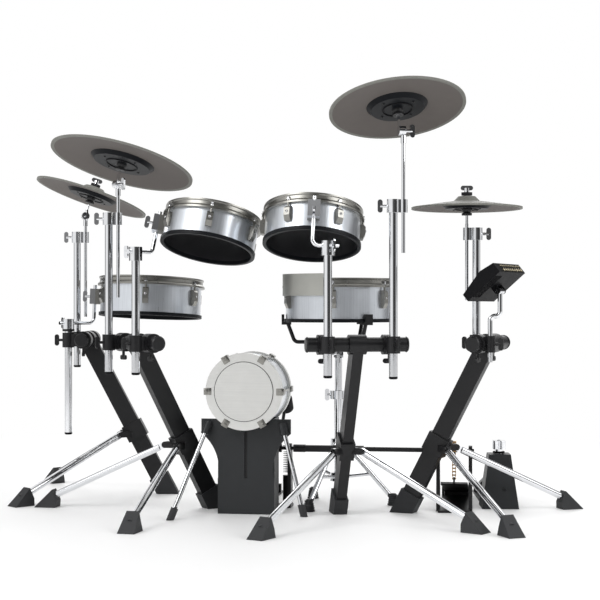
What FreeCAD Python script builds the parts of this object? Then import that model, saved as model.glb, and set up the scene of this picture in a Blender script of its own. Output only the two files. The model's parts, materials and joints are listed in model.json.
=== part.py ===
import FreeCAD, Part
import math
import os

from FreeCAD import Placement, Rotation, Vector

# Electronic drum kit, in millimetres. +X is to the right seen by the audience, +Y goes to the player,
# +Z is up. The origin is on the floor under the middle of the kick tower.

# Fits
seat_gap = 0.05
run_gap = 0.06
part_gap = 0.3
overrun = 5.0

# Stand positions on the floor and the way each one leans
far_stand_x = -260.0
far_stand_y = 403.0
far_stand_yaw = -89.7
left_stand_x = -96.0
left_stand_y = 95.0
left_stand_yaw = -57.7
centre_stand_x = 249.0
centre_stand_y = -9.0
centre_stand_yaw = 10.0
right_stand_beside = -135.0
right_stand_y = 6.0
right_stand_yaw = 64.0

# Stand
post_lean = 247.0
tube_height = 472.0
post_depth = 50.0
post_width = 28.0
post_wall = 2.5
saddle_radius = 26.0
saddle_length = 46.0
shoe_wall = 5.0
shoe_sole = 8.0
shoe_height = 62.0
tube_radius = 19.05
tube_wall = 2.5
tube_length = 262.0
cap_lip = 1.5
cap_thickness = 5.0
cap_depth = 14.0

# Stand legs
collar_share = 0.41
collar_wall = 6.0
collar_height = 52.0
leg_reach = 404.0
leg_splay = 42.7
leg_radius = 9.5
leg_pivot_reach = 54.0
leg_drop = 10.0
tang_thickness = 8.0
tang_radius = 9.0
tang_length = 34.0
cheek_thickness = 5.0
leg_pin_radius = 4.0
foot_length = 62.0
foot_width = 46.0
foot_grip = 34.0
foot_rise = 46.0
foot_grip_depth = 30.0

# Pole clamps
clamp_side = 86.0
clamp_offset = 45.0
hihat_clamp_side = 42.0
hihat_clamp_offset = -48.0
clamp_wall = 7.0
clamp_length = 38.0
clamp_height = 44.0
pole_radius = 11.0
wing_stud_radius = 4.0
wing_stud_length = 20.0
wing_span = 34.0
wing_height = 13.0
wing_thickness = 5.0

# Poles
tom_pole_drop = 82.0
floor_pole_drop = 281.0
cymbal_pole_drop = 86.0
hihat_pole_drop = 34.0
tom_1_pole_rise = 235.0
tom_2_pole_rise = 243.0
floor_pole_rise = 39.0
crash_1_pole_rise = 358.0
ride_pole_rise = 344.0
crash_2_pole_rise = 317.0
hihat_pole_rise = 299.0
rod_clamp_height = 34.0
rod_clamp_wall = 6.0

# Cymbal rods and tilters
rod_radius = 4.75
rod_offset = 26.0
crash_1_rod_tail = 121.0
ride_rod_tail = 219.0
crash_2_rod_tail = 248.0
hihat_rod_tail = 182.0
tilter_radius = 12.0
tilter_thickness = 9.0
tilter_neck = 20.0
stud_radius = 4.0
stud_rise = 60.0
sleeve_radius = 7.0
felt_radius = 15.0
felt_thickness = 8.0
nut_height = 12.0
washer_thickness = 3.0
ball_radius = 14.0
cymbal_swing = 10.0

# Cymbals
crash_radius = 178.0
ride_radius = 203.0
hihat_radius = 152.0
bell_radius_share = 0.24
bell_rise = 13.0
bow_rise = 15.0
cymbal_edge = 5.0
cymbal_body = 7.0
plate_radius_share = 0.45
plate_depth = 11.0
crash_1_rise = 251.0
crash_1_roll = -5.0
crash_1_tilt = 17.5
ride_rise = 153.0
ride_roll = 13.4
ride_tilt = 12.0
crash_2_rise = 124.0
crash_2_roll = 18.0
crash_2_tilt = 6.4
hihat_rise = 68.0

# Drums
tom_radius = 127.0
tom_depth = 96.0
floor_radius = 152.0
floor_depth = 112.0
snare_depth = 120.0
drum_wall = 6.0
head_thickness = 2.0
hoop_wall = 4.0
hoop_height = 22.0
hoop_lip = 4.0
hoop_edge = 6.5
hoop_edge_height = 4.0
hoop_flange = 10.0
hoop_flange_height = 5.0
base_ring_wall = 4.0
base_ring_height = 9.0
lug_count = 6
lug_width = 17.0
lug_depth = 14.0
lug_height_share = 0.42
lug_foot_share = 0.55
lug_drop = 9.0
tension_rod_radius = 2.75
tension_rod_rise = 9.0
bridge_width = 64.0
bridge_thickness = 10.0
bridge_low_share = 0.25
bridge_high_share = 0.62
bracket_width = 32.0
bracket_depth = 32.0
bracket_bore_depth = 19.0
bracket_height = 46.0
arm_radius = 5.25
arm_bend = 15.0
arm_stub = 12.0
arm_clamp_rise = 12.0
arm_clamp_drop = 13.0
arm_clamp_wall = 7.0
tom_1_reach_x = 188.0
tom_1_reach_y = 62.0
tom_1_rise = 20.0
tom_1_roll = 10.0
tom_1_tilt = 15.0
tom_2_reach_x = -40.0
tom_2_reach_y = 136.0
tom_2_rise = 17.0
tom_2_roll = 3.0
tom_2_tilt = 17.0
floor_reach_x = 240.0
floor_reach_y = 54.0
floor_rise = 30.0
floor_roll = 2.0
floor_tilt = 3.0

# Snare and its stand
snare_x = 255.0
snare_y = 150.0
snare_height = 528.0
snare_lug_turn = 263.0
cover_span = 56.0
cover_turn = 226.0
cover_wall = 2.5
cover_height = 62.0
cover_rise = 16.0
snare_tube_radius = 12.5
snare_tube_wall = 2.0
snare_tube_low = 62.0
snare_tube_high = 330.0
snare_inner_low = 200.0
snare_pivot_height = 436.0
snare_leg_radius = 7.0
snare_leg_reach = 158.0
snare_leg_turn = -3.0
snare_leg_top = 180.0
snare_brace_top = 82.0
snare_brace_share = 0.55
snare_collar_radius = 24.0
snare_collar_height = 24.0
snare_foot_radius = 14.0
snare_foot_height = 34.0
basket_arm_radius = 5.5
basket_hub_radius = 18.0
basket_hub_height = 16.0
basket_hub_rise = 26.0
basket_grip_width = 24.0
basket_grip_wall = 8.0
basket_grip_rise = 22.0
basket_grip_depth = 20.0
basket_turn = 60.0

# Kick pad, tower and spurs
kick_yaw = -8.0
kick_radius = 100.0
kick_height = 339.0
kick_front = -71.0
kick_face = 7.0
kick_front_face = 18.0
kick_disc_rise = 1.5
kick_hoop_wall = 6.0
kick_hoop_depth = 20.0
kick_head_depth = 6.0
claw_width = 16.0
claw_rise = 5.0
claw_length = 30.0
claw_count = 6
kick_rod_radius = 2.5
tower_width = 158.0
tower_front = -36.0
tower_back = 50.0
tower_height = 262.0
tower_sheet = 4.0
tower_back_low = 190.0
tower_slot_width = 8.0
tower_slot_low = 98.0
tower_slot_high = 226.0
wing_reach = 46.0
wing_low = 96.0
wing_edge = 40.0
wing_sag_share = 0.34
spur_radius = 6.0
spur_boss_radius = 11.0
spur_boss_length = 34.0
spur_top = 252.0
left_spur_x = -182.0
left_spur_y = -170.0
right_spur_x = 165.0
right_spur_y = -60.0
spur_tip_radius = 10.0
spur_tip_length = 34.0

# Double pedal
axle_y = 120.0
axle_height = 168.0
axle_radius = 5.0
pedal_base = 6.0
pedal_back = 440.0
pedal_half_width = 44.0
main_middle = -12.0
main_left_post = -57.0
main_right_post = 36.0
outer_post = 100.0
post_thickness = 10.0
post_foot = 44.0
post_head_radius = 14.0
slave_middle = 566.0
slave_post_side = 45.0
cam_radius = 24.0
cam_width = 5.0
main_beater_x = 12.0
second_beater_x = 68.0
beater_lean = 46.0
beater_radius = 22.0
beater_depth = 40.0
beater_rod_radius = 4.75
beater_hub_radius = 12.0
beater_hub_width = 16.0
lever_reach = 28.0
lever_width = 8.0
lever_height = 10.0
main_lever_x = -67.0
second_lever_x = 84.0
spring_radius = 7.5
spring_wire = 1.1
spring_pitch = 5.2
spring_curls = 12
spring_hook = 4.0
spring_eye_radius = 9.0
board_width = 74.0
board_thickness = 8.0
heel_y = 392.0
heel_height = 24.0
toe_height = 78.0
knuckle_radius = 8.0
heel_pin_radius = 4.0
heel_lug = 8.0
heel_plate_length = 34.0
toe_lug_height = 14.0
toe_lug_width = 5.0
chain_pitch = 9.5
chain_plate = 1.2
chain_plate_height = 7.6
chain_inside = 6.4
chain_pin_radius = 2.0
universal_radius = 11.0
universal_length = 34.0
shaft_radius = 6.5
shaft_side = 9.0

# Hi-hat control pedal
hihat_pedal_beside = 123.5
hihat_pedal_back = 210.0
hihat_pedal_yaw = -2.0
housing_low_width = 104.0
housing_low_depth = 104.0
housing_top_width = 62.0
housing_top_depth = 66.0
housing_height = 152.0
screw_recess_radius = 6.0
screw_recess_depth = 4.0
screw_recess_height = 56.0
screw_recess_x = 10.0
knob_stem_radius = 12.0
knob_stem_height = 13.0
knob_lobe_offset = 13.5
knob_lobe_radius = 9.0
knob_lobes = 4
knob_height = 24.0
knob_shaft_radius = 5.0
knob_shaft_depth = 24.0
rail_width = 92.0
rail_back = 330.0
hihat_heel_y = 286.0
hihat_board_width = 78.0
hihat_toe_height = 84.0
tongue_width = 26.0
tongue_end = 8.0
slot_clearance = 3.0
hihat_press = 8.0

# Module
module_rod_radius = 6.35
module_clamp_offset = 34.0
module_rod_below = 48.0
module_rod_step_rise = 74.0
module_rod_step = 26.0
module_rod_bend = 12.0
module_rod_rise = 140.0
module_facing = 58.0
module_slope = 40.0
module_width = 166.0
module_depth = 118.0
module_front = 22.0
module_crest = 38.0
module_rear = 30.0
module_crest_share = 0.36
barrel_radius = 8.0
barrel_length = 28.0
barrel_pin_radius = 4.0
barrel_drop = 14.0
module_ear = 6.0
module_knob_radius = 13.0
module_knob_height = 14.0
module_knob_x_share = 0.3
module_knob_shaft = 3.0
module_knob_depth = 14.0

stands = {
    "far": (far_stand_x, far_stand_y, far_stand_yaw),
    "left": (left_stand_x, left_stand_y, left_stand_yaw),
    "centre": (centre_stand_x, centre_stand_y, centre_stand_yaw),
    "right": (slave_middle + right_stand_beside, right_stand_y, right_stand_yaw),
}
x_axis = Vector(1, 0, 0)
y_axis = Vector(0, 1, 0)
z_axis = Vector(0, 0, 1)
nodes = {}


def add(node, *solids):
    """Add solids to the node of that name."""
    nodes.setdefault(node, []).extend(solids)


def placed(shape, placement):
    """Give a copy of a shape at a placement."""
    moved = shape.copy()
    moved.Placement = placement.multiply(moved.Placement)
    return moved


def rod(start, end, radius):
    """Round bar between two points."""
    axis = end - start
    return Part.makeCylinder(radius, axis.Length, start, axis)


def block(low, high):
    """Box between two corners."""
    size = high - low
    return Part.makeBox(size.x, size.y, size.z, low)


def centred_block(length, width, low, high):
    """Box centred on the Z axis, from one height to another."""
    return block(Vector(-length / 2, -width / 2, low), Vector(length / 2, width / 2, high))


def turned(outline):
    """Solid of revolution about Z from (radius, height) points."""
    points = [Vector(radius, 0, height) for radius, height in outline]
    face = Part.Face(Part.makePolygon(points + points[:1]))
    return face.revolve(Vector(0, 0, 0), z_axis, 360)


def ring(outer, inner, low, high):
    """Flat-ended ring about Z."""
    return turned([(inner, low), (outer, low), (outer, high), (inner, high)])


def extruded(outline, sweep):
    """Prism of a closed outline of points."""
    face = Part.Face(Part.makePolygon(outline + outline[:1]))
    return face.extrude(sweep)


def side_plate(outline, low_x, high_x):
    """Prism along X of an outline of (y, z) points."""
    points = [Vector(low_x, y, z) for y, z in outline]
    return extruded(points, Vector(high_x - low_x, 0, 0))


def bent_rod(points, radius, bend):
    """Round bar along straight runs joined by tangent arcs."""
    edges = []
    start = points[0]
    for before, corner, after in zip(points, points[1:], points[2:]):
        back = (before - corner).normalize()
        ahead = (after - corner).normalize()
        half_turn = (math.pi - back.getAngle(ahead)) / 2
        trim = bend * math.tan(half_turn)
        middle = corner + (back + ahead).normalize() * (bend / math.cos(half_turn) - bend)
        enter = corner + back * trim
        leave = corner + ahead * trim
        edges.append(Part.LineSegment(start, enter).toShape())
        edges.append(Part.Arc(enter, middle, leave).toShape())
        start = leave
    edges.append(Part.LineSegment(start, points[-1]).toShape())
    circle = Part.Wire(Part.makeCircle(radius, points[0], points[1] - points[0]))
    return Part.Wire(edges).makePipeShell([circle], True, False)


def frame_along(origin, axis, toward):
    """Placement whose Z is the axis and whose X leans to the given direction."""
    up = Vector(axis).normalize()
    side = (toward - up * toward.dot(up)).normalize()
    return Placement(origin, Rotation(side, up.cross(side), up, "ZXY"))


def wing_bolt(seat, direction, wing_axis):
    """Stud with a two-lobed wing, leaving a seat in a direction."""
    lobe = wing_height / 2
    stud = Part.makeCylinder(wing_stud_radius, wing_stud_length)
    bar = centred_block(wing_span - wing_height, wing_thickness, wing_stud_length - lobe,
                        wing_stud_length + lobe)
    bolt = stud.fuse(bar)
    for side in (-1, 1):
        tip = Vector(side * (wing_span - wing_height) / 2, -wing_thickness / 2, wing_stud_length)
        bolt = bolt.fuse(Part.makeCylinder(lobe, wing_thickness, tip, y_axis))
    return placed(bolt.removeSplitter(), frame_along(seat, direction, wing_axis))


def stand_frame(stand):
    """Stand's own frame: X along the lean, Y along the cross tube, on the floor."""
    x, y, yaw = stands[stand]
    return Placement(Vector(x, y, 0), Rotation(z_axis, yaw - 90))


def tilted_frame(centre, roll, tilt):
    """Frame of a drum or cymbal: rolled to the right, tilted to the player."""
    return Placement(centre, Rotation(y_axis, roll).multiply(Rotation(x_axis, -tilt)))


def build_post(place):
    """Leaning box-section post with the saddle that grips the cross tube, and its rubber shoe."""
    lean = math.degrees(math.atan2(post_lean, tube_height))
    length = math.hypot(post_lean, tube_height)
    leaning = Placement(Vector(0, 0, 0), Rotation(y_axis, lean))
    under = 2 * shoe_height
    floor_cut = centred_block(2 * under, 2 * under, -under, 0)
    sole = floor_cut.translated(Vector(0, 0, shoe_sole))
    outer = placed(centred_block(post_depth, post_width, -shoe_height, length), leaning).cut(sole)
    inside = centred_block(post_depth - 2 * post_wall, post_width - 2 * post_wall, -shoe_height,
                           length - saddle_radius)
    post = outer.cut(placed(inside, leaning))
    saddle = rod(Vector(post_lean, -saddle_length / 2, tube_height),
                 Vector(post_lean, saddle_length / 2, tube_height), saddle_radius)
    bore = rod(Vector(post_lean, -saddle_length, tube_height),
               Vector(post_lean, saddle_length, tube_height), tube_radius + seat_gap)
    add("stand_posts", placed(post.fuse(saddle).cut(bore).removeSplitter(), place))
    shoe_depth = post_depth + 2 * shoe_wall
    shoe_width = post_width + 2 * shoe_wall
    shoe = placed(centred_block(shoe_depth, shoe_width, -shoe_height, shoe_height), leaning)
    shoe = shoe.cut(floor_cut).cut(outer)
    add("post_shoes", placed(shoe, place))


def build_cross_tube(place):
    """Cross tube with its two end caps."""
    axis_frame = place.multiply(Placement(Vector(post_lean, -tube_length / 2, tube_height),
                                          Rotation(x_axis, -90)))
    bore = tube_radius - tube_wall
    tube = ring(tube_radius, bore, 0, tube_length)
    cap = turned([(0, -cap_thickness), (tube_radius - cap_lip, -cap_thickness),
                  (tube_radius + cap_lip, -cap_lip), (tube_radius + cap_lip, 0),
                  (bore - seat_gap, 0), (bore - seat_gap, cap_depth), (0, cap_depth)])
    far_end = Placement(Vector(0, 0, tube_length), Rotation(x_axis, 180))
    add("cross_tubes", placed(tube, axis_frame), placed(cap, axis_frame),
        placed(placed(cap, far_end), axis_frame))


def build_legs(stand, place):
    """Leg collar on the post and its two folding legs with rubber feet."""
    lean = math.degrees(math.atan2(post_lean, tube_height))
    along = collar_share * math.hypot(post_lean, tube_height)
    leaning = Placement(Vector(0, 0, 0), Rotation(y_axis, lean))
    collar = centred_block(post_depth + 2 * collar_wall, post_width + 2 * collar_wall,
                           along - collar_height / 2, along + collar_height / 2)
    centre = Vector(collar_share * post_lean, 0, collar_share * tube_height)
    collar = placed(collar, leaning)
    passage = centred_block(post_depth + 2 * seat_gap, post_width + 2 * seat_gap, 0,
                            along + collar_height)
    slot = tang_thickness / 2 + part_gap
    cheek = slot + cheek_thickness
    for side in (-1, 1):
        pivot_frame = Placement(centre + Vector(0, 0, -leg_drop), Rotation(z_axis, side * leg_splay))
        plates = block(Vector(0, -cheek, -tang_radius),
                       Vector(leg_pivot_reach, cheek, tang_radius))
        plates = plates.fuse(rod(Vector(leg_pivot_reach, -cheek, 0), Vector(leg_pivot_reach, cheek, 0),
                                 tang_radius))
        collar = collar.fuse(placed(plates, pivot_frame))
    for side in (-1, 1):
        pivot_frame = Placement(centre + Vector(0, 0, -leg_drop), Rotation(z_axis, side * leg_splay))
        room = block(Vector(leg_pivot_reach - tang_radius - wing_thickness, -slot, -collar_height),
                     Vector(leg_reach, slot, collar_height))
        collar = collar.cut(placed(room, pivot_frame))
        pin = rod(Vector(leg_pivot_reach, -cheek, 0), Vector(leg_pivot_reach, cheek, 0), leg_pin_radius)
        collar = collar.fuse(placed(pin, pivot_frame))
        name = f"leg_{stand}_{'left' if side < 0 else 'right'}"
        for solid in leg_solids(centre.z - leg_drop):
            add(name, placed(placed(solid, pivot_frame), place))
        leg_frame = place.multiply(pivot_frame)
        joint_note(name, "hinge", leg_frame.multVec(x_axis * leg_pivot_reach),
                   leg_frame.Rotation.multVec(y_axis * -1))
    collar = collar.cut(placed(passage, leaning)).removeSplitter()
    add("leg_collars", placed(collar, place))


def leg_solids(height):
    """Leg tube with its hinge tang, and its rubber foot, in the frame of the leg's pivot plane."""
    pivot = Vector(leg_pivot_reach, 0, 0)
    tip = Vector(leg_reach, 0, foot_rise / 2 - height)
    run = (tip - pivot).normalize()
    tang = rod(pivot - y_axis * tang_thickness / 2, pivot + y_axis * tang_thickness / 2, tang_radius)
    along = Placement(pivot, Rotation(z_axis, run))
    tang = tang.fuse(placed(centred_block(2 * tang_radius, tang_thickness, 0, tang_length), along))
    hole = rod(pivot - y_axis * tang_thickness, pivot + y_axis * tang_thickness, leg_pin_radius + run_gap)
    bar = rod(pivot + run * (tang_radius + leg_radius), tip, leg_radius)
    leg = tang.fuse(bar).cut(hole).removeSplitter()
    floor = -height
    base = rectangle(Vector(leg_reach, 0, floor), x_axis, y_axis, foot_length, foot_width)
    grip_up = run.cross(y_axis)
    grip = rectangle(tip - run * foot_grip_depth, grip_up, y_axis, foot_grip, foot_grip)
    foot = Part.makeLoft([base, grip], True, True)
    socket = rod(tip - run * leg_reach / 2, tip, leg_radius)
    return [leg, foot.cut(socket)]


def rectangle(centre, along, across, length, width):
    """Closed rectangle about a centre."""
    half_length = along * (length / 2)
    half_width = across * (width / 2)
    corners = [centre - half_length - half_width, centre + half_length - half_width,
               centre + half_length + half_width, centre - half_length + half_width]
    return Part.makePolygon(corners + corners[:1])


def clamp_point(stand, side, offset):
    """Point on a pole's axis at the height of its stand's cross tube."""
    return stand_frame(stand).multVec(Vector(post_lean + offset, side, tube_height))


def build_pole_clamp(stand, side, offset, grip):
    """Clamp that grips the cross tube and an upright pole beside it, with two wing bolts."""
    tube_outer = tube_radius + clamp_wall
    pole_outer = grip + clamp_wall
    away = math.copysign(1, offset)
    sleeve = rod(Vector(0, -clamp_length / 2, 0), Vector(0, clamp_length / 2, 0), tube_outer)
    socket = rod(Vector(offset, 0, -clamp_height / 2), Vector(offset, 0, clamp_height / 2), pole_outer)
    bridge = centred_block(abs(offset), 2 * pole_outer - clamp_wall, -clamp_length / 2, clamp_length / 2)
    clamp = sleeve.fuse(socket).fuse(bridge.translated(Vector(offset / 2, 0, 0)))
    clamp = clamp.cut(rod(Vector(0, -clamp_length, 0), Vector(0, clamp_length, 0), tube_radius + seat_gap))
    clamp = clamp.cut(rod(Vector(offset, 0, -clamp_height), Vector(offset, 0, clamp_height),
                          grip + seat_gap))
    pole_bolt = wing_bolt(Vector(offset + away * (pole_outer - clamp_wall / 2), 0, 0),
                          x_axis * away, z_axis)
    tube_bolt = wing_bolt(Vector(0, 0, clamp_wall / 2 - tube_outer), z_axis * -1, y_axis)
    clamp = clamp.fuse(pole_bolt).fuse(tube_bolt).removeSplitter()
    at_tube = Placement(Vector(post_lean, side, tube_height), Rotation())
    add("pole_clamps", placed(placed(clamp, at_tube), stand_frame(stand)))


def build_pole(stand, side, offset, rise, drop):
    """Upright pole that reaches above and below its clamp; gives the point at its top."""
    build_pole_clamp(stand, side, offset, pole_radius)
    point = clamp_point(stand, side, offset)
    head = point + z_axis * rise
    add("poles", rod(point - z_axis * drop, head, pole_radius))
    return head


def cymbal_levels(radius):
    """Heights in a cymbal's frame, from the plane of its edge: plate underside, and top of its bell."""
    bell = bell_radius_share * radius
    plate = plate_radius_share * radius
    plate_seat = bow_rise * (radius - plate) / (radius - bell)
    return plate_seat - plate_depth, bell_rise + bow_rise + cymbal_body


def build_rod_clamp(pole_head, rod_point):
    """Clamp on a pole's top that holds a thin rod beside the pole."""
    half = rod_clamp_height / 2
    low = pole_head - z_axis * half
    high = pole_head + z_axis * half
    side = (rod_point - pole_head).normalize()
    rod_low = low + side * rod_offset
    rod_high = high + side * rod_offset
    clamp = rod(low, high, pole_radius + rod_clamp_wall)
    clamp = clamp.fuse(rod(rod_low, rod_high, rod_radius + rod_clamp_wall))
    bridge = centred_block(rod_offset, 2 * rod_radius + rod_clamp_wall, -half, half)
    bridge_frame = frame_along(pole_head + side * (rod_offset / 2), z_axis, side)
    clamp = clamp.fuse(placed(bridge, bridge_frame))
    bolt = wing_bolt(pole_head - side * (pole_radius + rod_clamp_wall / 2), side * -1, z_axis)
    clamp = clamp.fuse(bolt)
    clamp = clamp.cut(rod(low - z_axis * half, pole_head, pole_radius + seat_gap))
    reach = z_axis * rod_clamp_height
    clamp = clamp.cut(rod(rod_low - reach, rod_high + reach, rod_radius + run_gap))
    add("pole_clamps", clamp.removeSplitter())


def build_cymbal(name, frame, radius):
    """One-piece cymbal pad with the sensor housing under it."""
    plate_low, top = cymbal_levels(radius)
    bell = bell_radius_share * radius
    crown = bell - bell_rise
    plate = plate_radius_share * radius
    under = top - cymbal_body
    plate_seat = plate_low + plate_depth
    hole = cymbal_hole(radius)
    pad = turned([(hole, under), (crown, under), (bell, bow_rise), (radius, 0), (radius, cymbal_edge),
                  (bell, bow_rise + cymbal_body), (crown, top), (hole, top)])
    housing = turned([(hole, plate_low), (plate - plate_depth, plate_low), (plate, plate_seat),
                      (bell, bow_rise), (crown, under), (hole, under)])
    socket = Part.makeSphere(ball_radius + part_gap, Vector(0, 0, plate_low))
    add(name, placed(pad.cut(socket), frame), placed(housing.cut(socket), frame))


def cymbal_hole(radius):
    """Radius of a cymbal's hole, which clears its stud when the cymbal rocks."""
    plate_low, top = cymbal_levels(radius)
    return stud_radius + (top - plate_low) * math.sin(math.radians(cymbal_swing)) + part_gap


def cymbal_holder(radius):
    """Stud, ball seat, upper felt and wing nut that hold a cymbal, in the cymbal's frame."""
    plate_low, top = cymbal_levels(radius)
    felt_low = top + felt_radius * math.tan(math.radians(cymbal_swing)) + part_gap
    felt_high = felt_low + felt_thickness
    seat = Part.makeSphere(ball_radius, Vector(0, 0, plate_low))
    washer = Vector(0, 0, plate_low - ball_radius)
    seat = seat.fuse(rod(washer - z_axis * washer_thickness, washer + z_axis * washer_thickness, ball_radius))
    stud = rod(Vector(0, 0, plate_low - stud_rise), Vector(0, 0, felt_high + nut_height), stud_radius)
    felt = ring(felt_radius, stud_radius + seat_gap, felt_low, felt_high)
    nut = wing_bolt(Vector(0, 0, felt_high + nut_height - wing_stud_length), z_axis, x_axis)
    nut = nut.fuse(rod(Vector(0, 0, felt_high), Vector(0, 0, felt_high + nut_height), sleeve_radius))
    return stud.fuse(seat).fuse(nut.common(above(felt_high))).removeSplitter(), felt


def above(height):
    """Space above a height, as wide as any wing nut."""
    return centred_block(2 * wing_span, 2 * wing_span, height, height + 2 * wing_span)


def build_cymbal_stand(name, pole_head, rise, tail, roll, tilt, radius):
    """Rod clamp, rod, tilter and cymbal above a pole."""
    rod_point = pole_head + x_axis * rod_offset
    build_rod_clamp(pole_head, rod_point)
    normal = tilted_frame(Vector(0, 0, 0), roll, tilt).Rotation.multVec(z_axis)
    hinge = z_axis.cross(normal).normalize()
    plate_low = cymbal_levels(radius)[0]
    drop = stud_rise - plate_low
    pivot_height = pole_head.z + rise - drop * normal.z
    disc = tilter_thickness / 2
    offset = hinge * (disc + part_gap / 2)
    rod_top = Vector(rod_point.x, rod_point.y, pivot_height)
    pivot = rod_top + offset * 2
    lower = rod(rod_top - hinge * disc, rod_top + hinge * disc, tilter_radius)
    lower = lower.fuse(rod(rod_top - z_axis * (tilter_radius + tilter_neck),
                           rod_top - z_axis * (tilter_radius + part_gap), sleeve_radius))
    lower = lower.fuse(rod(rod_point - z_axis * tail, rod_top, rod_radius))
    lower = lower.fuse(rod(rod_top, pivot + hinge * disc, stud_radius))
    lower = lower.fuse(wing_bolt(rod_top - hinge * (disc - part_gap), hinge * -1, z_axis))
    add(f"{name}_rod", lower.removeSplitter())
    frame = Placement(pivot + normal * drop, tilted_frame(Vector(0, 0, 0), roll, tilt).Rotation)
    stud, felt = cymbal_holder(radius)
    upper = rod(pivot - hinge * disc, pivot + hinge * disc, tilter_radius)
    upper = upper.fuse(placed(stud, frame))
    upper = upper.cut(rod(pivot - hinge * tilter_radius, pivot + hinge * tilter_radius,
                          stud_radius + run_gap))
    add(f"{name}_tilter", upper.removeSplitter(), placed(felt, frame))
    build_cymbal(f"{name}_cymbal", frame, radius)
    joint_note(f"{name}_rod", "slide", rod_top, z_axis)
    joint_note(f"{name}_tilter", "hinge", pivot, hinge)
    joint_note(f"{name}_cymbal", "hinge", frame.multVec(Vector(0, 0, plate_low)), hinge)


def build_hihat_stand(pole_head):
    """Rod clamp, straight rod and hi-hat cymbal."""
    rod_point = pole_head - x_axis * rod_offset
    build_rod_clamp(pole_head, rod_point)
    frame = Placement(rod_point + z_axis * hihat_rise, Rotation())
    plate_low = cymbal_levels(hihat_radius)[0]
    stud, felt = cymbal_holder(hihat_radius)
    join = rod_point + z_axis * (hihat_rise + plate_low - stud_rise)
    bar = rod(rod_point - z_axis * hihat_rod_tail, join + z_axis * tilter_neck, rod_radius)
    add("hihat_rod", bar.fuse(placed(stud, frame)).removeSplitter(), placed(felt, frame))
    build_cymbal("hihat_cymbal", frame, hihat_radius)
    joint_note("hihat_rod", "slide", join, z_axis)
    joint_note("hihat_cymbal", "hinge", frame.multVec(Vector(0, 0, plate_low)), x_axis)


def joint_note(body, kind, point, axis):
    """Print where a moving body turns or slides."""
    place = ", ".join(f"{value:.4f}" for value in point)
    way = ", ".join(f"{value:.6f}" for value in axis)
    print(f"JOINT {body} {kind} [{place}] [{way}]")


def arch(half_span, low, rise, thickness, width):
    """Arched band across the X axis, extruded along Y about the middle."""
    outer = Part.Arc(Vector(-half_span, 0, low + thickness), Vector(0, 0, rise + thickness),
                     Vector(half_span, 0, low + thickness)).toShape()
    inner = Part.Arc(Vector(half_span, 0, low), Vector(0, 0, rise), Vector(-half_span, 0, low)).toShape()
    right = Part.makeLine(Vector(half_span, 0, low + thickness), Vector(half_span, 0, low))
    left = Part.makeLine(Vector(-half_span, 0, low), Vector(-half_span, 0, low + thickness))
    band = Part.Face(Part.Wire([outer, right, inner, left]))
    return band.extrude(Vector(0, width, 0)).translated(Vector(0, -width / 2, 0))


def turned_about_z(shape, angle):
    """Copy of a shape turned about Z."""
    return placed(shape, Placement(Vector(0, 0, 0), Rotation(z_axis, angle)))


def build_drum(name, frame, radius, depth, first_lug):
    """Drum pad: shell with sensor bridge, hoop with lugs, base ring and head, in its own frame."""
    inside = radius - drum_wall
    shell = ring(radius, inside, base_ring_height, depth - head_thickness)
    span = ring(inside - seat_gap, 0, 0, depth)
    bridge = arch(radius, bridge_low_share * depth, bridge_high_share * depth, bridge_thickness,
                  bridge_width).common(span)
    add(f"{name}_shell", placed(shell, frame), placed(bridge, frame))
    low = depth - hoop_height
    seat = radius + seat_gap
    hoop = turned([(seat, low), (radius + hoop_flange, low), (radius + hoop_flange, low + hoop_flange_height),
                   (radius + hoop_wall, low + hoop_flange_height + hoop_flange - hoop_wall),
                   (radius + hoop_wall, depth + hoop_lip - hoop_edge_height - hoop_edge + hoop_wall),
                   (radius + hoop_edge, depth + hoop_lip - hoop_edge_height), (radius + hoop_edge, depth + hoop_lip),
                   (seat, depth + hoop_lip)])
    lug_top = low - lug_drop
    lug_low = lug_top - lug_height_share * depth
    foot = radius + lug_foot_share * lug_depth
    outline = [(inside, lug_low), (foot, lug_low), (radius + lug_depth, lug_low + lug_depth),
               (radius + lug_depth, lug_top - lug_depth + foot - radius), (foot, lug_top), (inside, lug_top)]
    lug = extruded([Vector(x, -lug_width / 2, z) for x, z in outline], Vector(0, lug_width, 0))
    lug = lug.cut(ring(seat, 0, 0, depth))
    tension = radius + (hoop_flange + hoop_wall) / 2
    lug = lug.fuse(rod(Vector(tension, 0, lug_top - lug_depth), Vector(tension, 0, low + tension_rod_rise),
                       tension_rod_radius))
    for count in range(lug_count):
        hoop = hoop.fuse(turned_about_z(lug, first_lug + count * 360 / lug_count))
    hoop = hoop.removeSplitter()
    base_ring = ring(radius + base_ring_wall, inside, 0, base_ring_height)
    add(f"{name}_hoop", placed(hoop, frame), placed(base_ring, frame))
    add(f"{name}_head", placed(ring(radius, 0, depth - head_thickness, depth), frame))


def build_bracket(name, frame, radius, depth, turn):
    """Mounting bracket on a drum's side, which slides on the upright of an L-rod."""
    middle = depth / 2
    low = middle - bracket_height / 2
    bore = radius + bracket_bore_depth
    bracket = block(Vector(radius - drum_wall, -bracket_width / 2, low),
                    Vector(radius + bracket_depth, bracket_width / 2, low + bracket_height))
    bracket = bracket.cut(ring(radius + seat_gap, 0, 0, depth))
    bolt = wing_bolt(Vector(radius + bracket_depth - clamp_wall / 2, 0, middle), x_axis, z_axis)
    bracket = bracket.fuse(bolt)
    bracket = bracket.cut(rod(Vector(bore, 0, 0), Vector(bore, 0, depth), arm_radius + run_gap))
    add(f"{name}_hoop", placed(turned_about_z(bracket.removeSplitter(), turn), frame))


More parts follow.
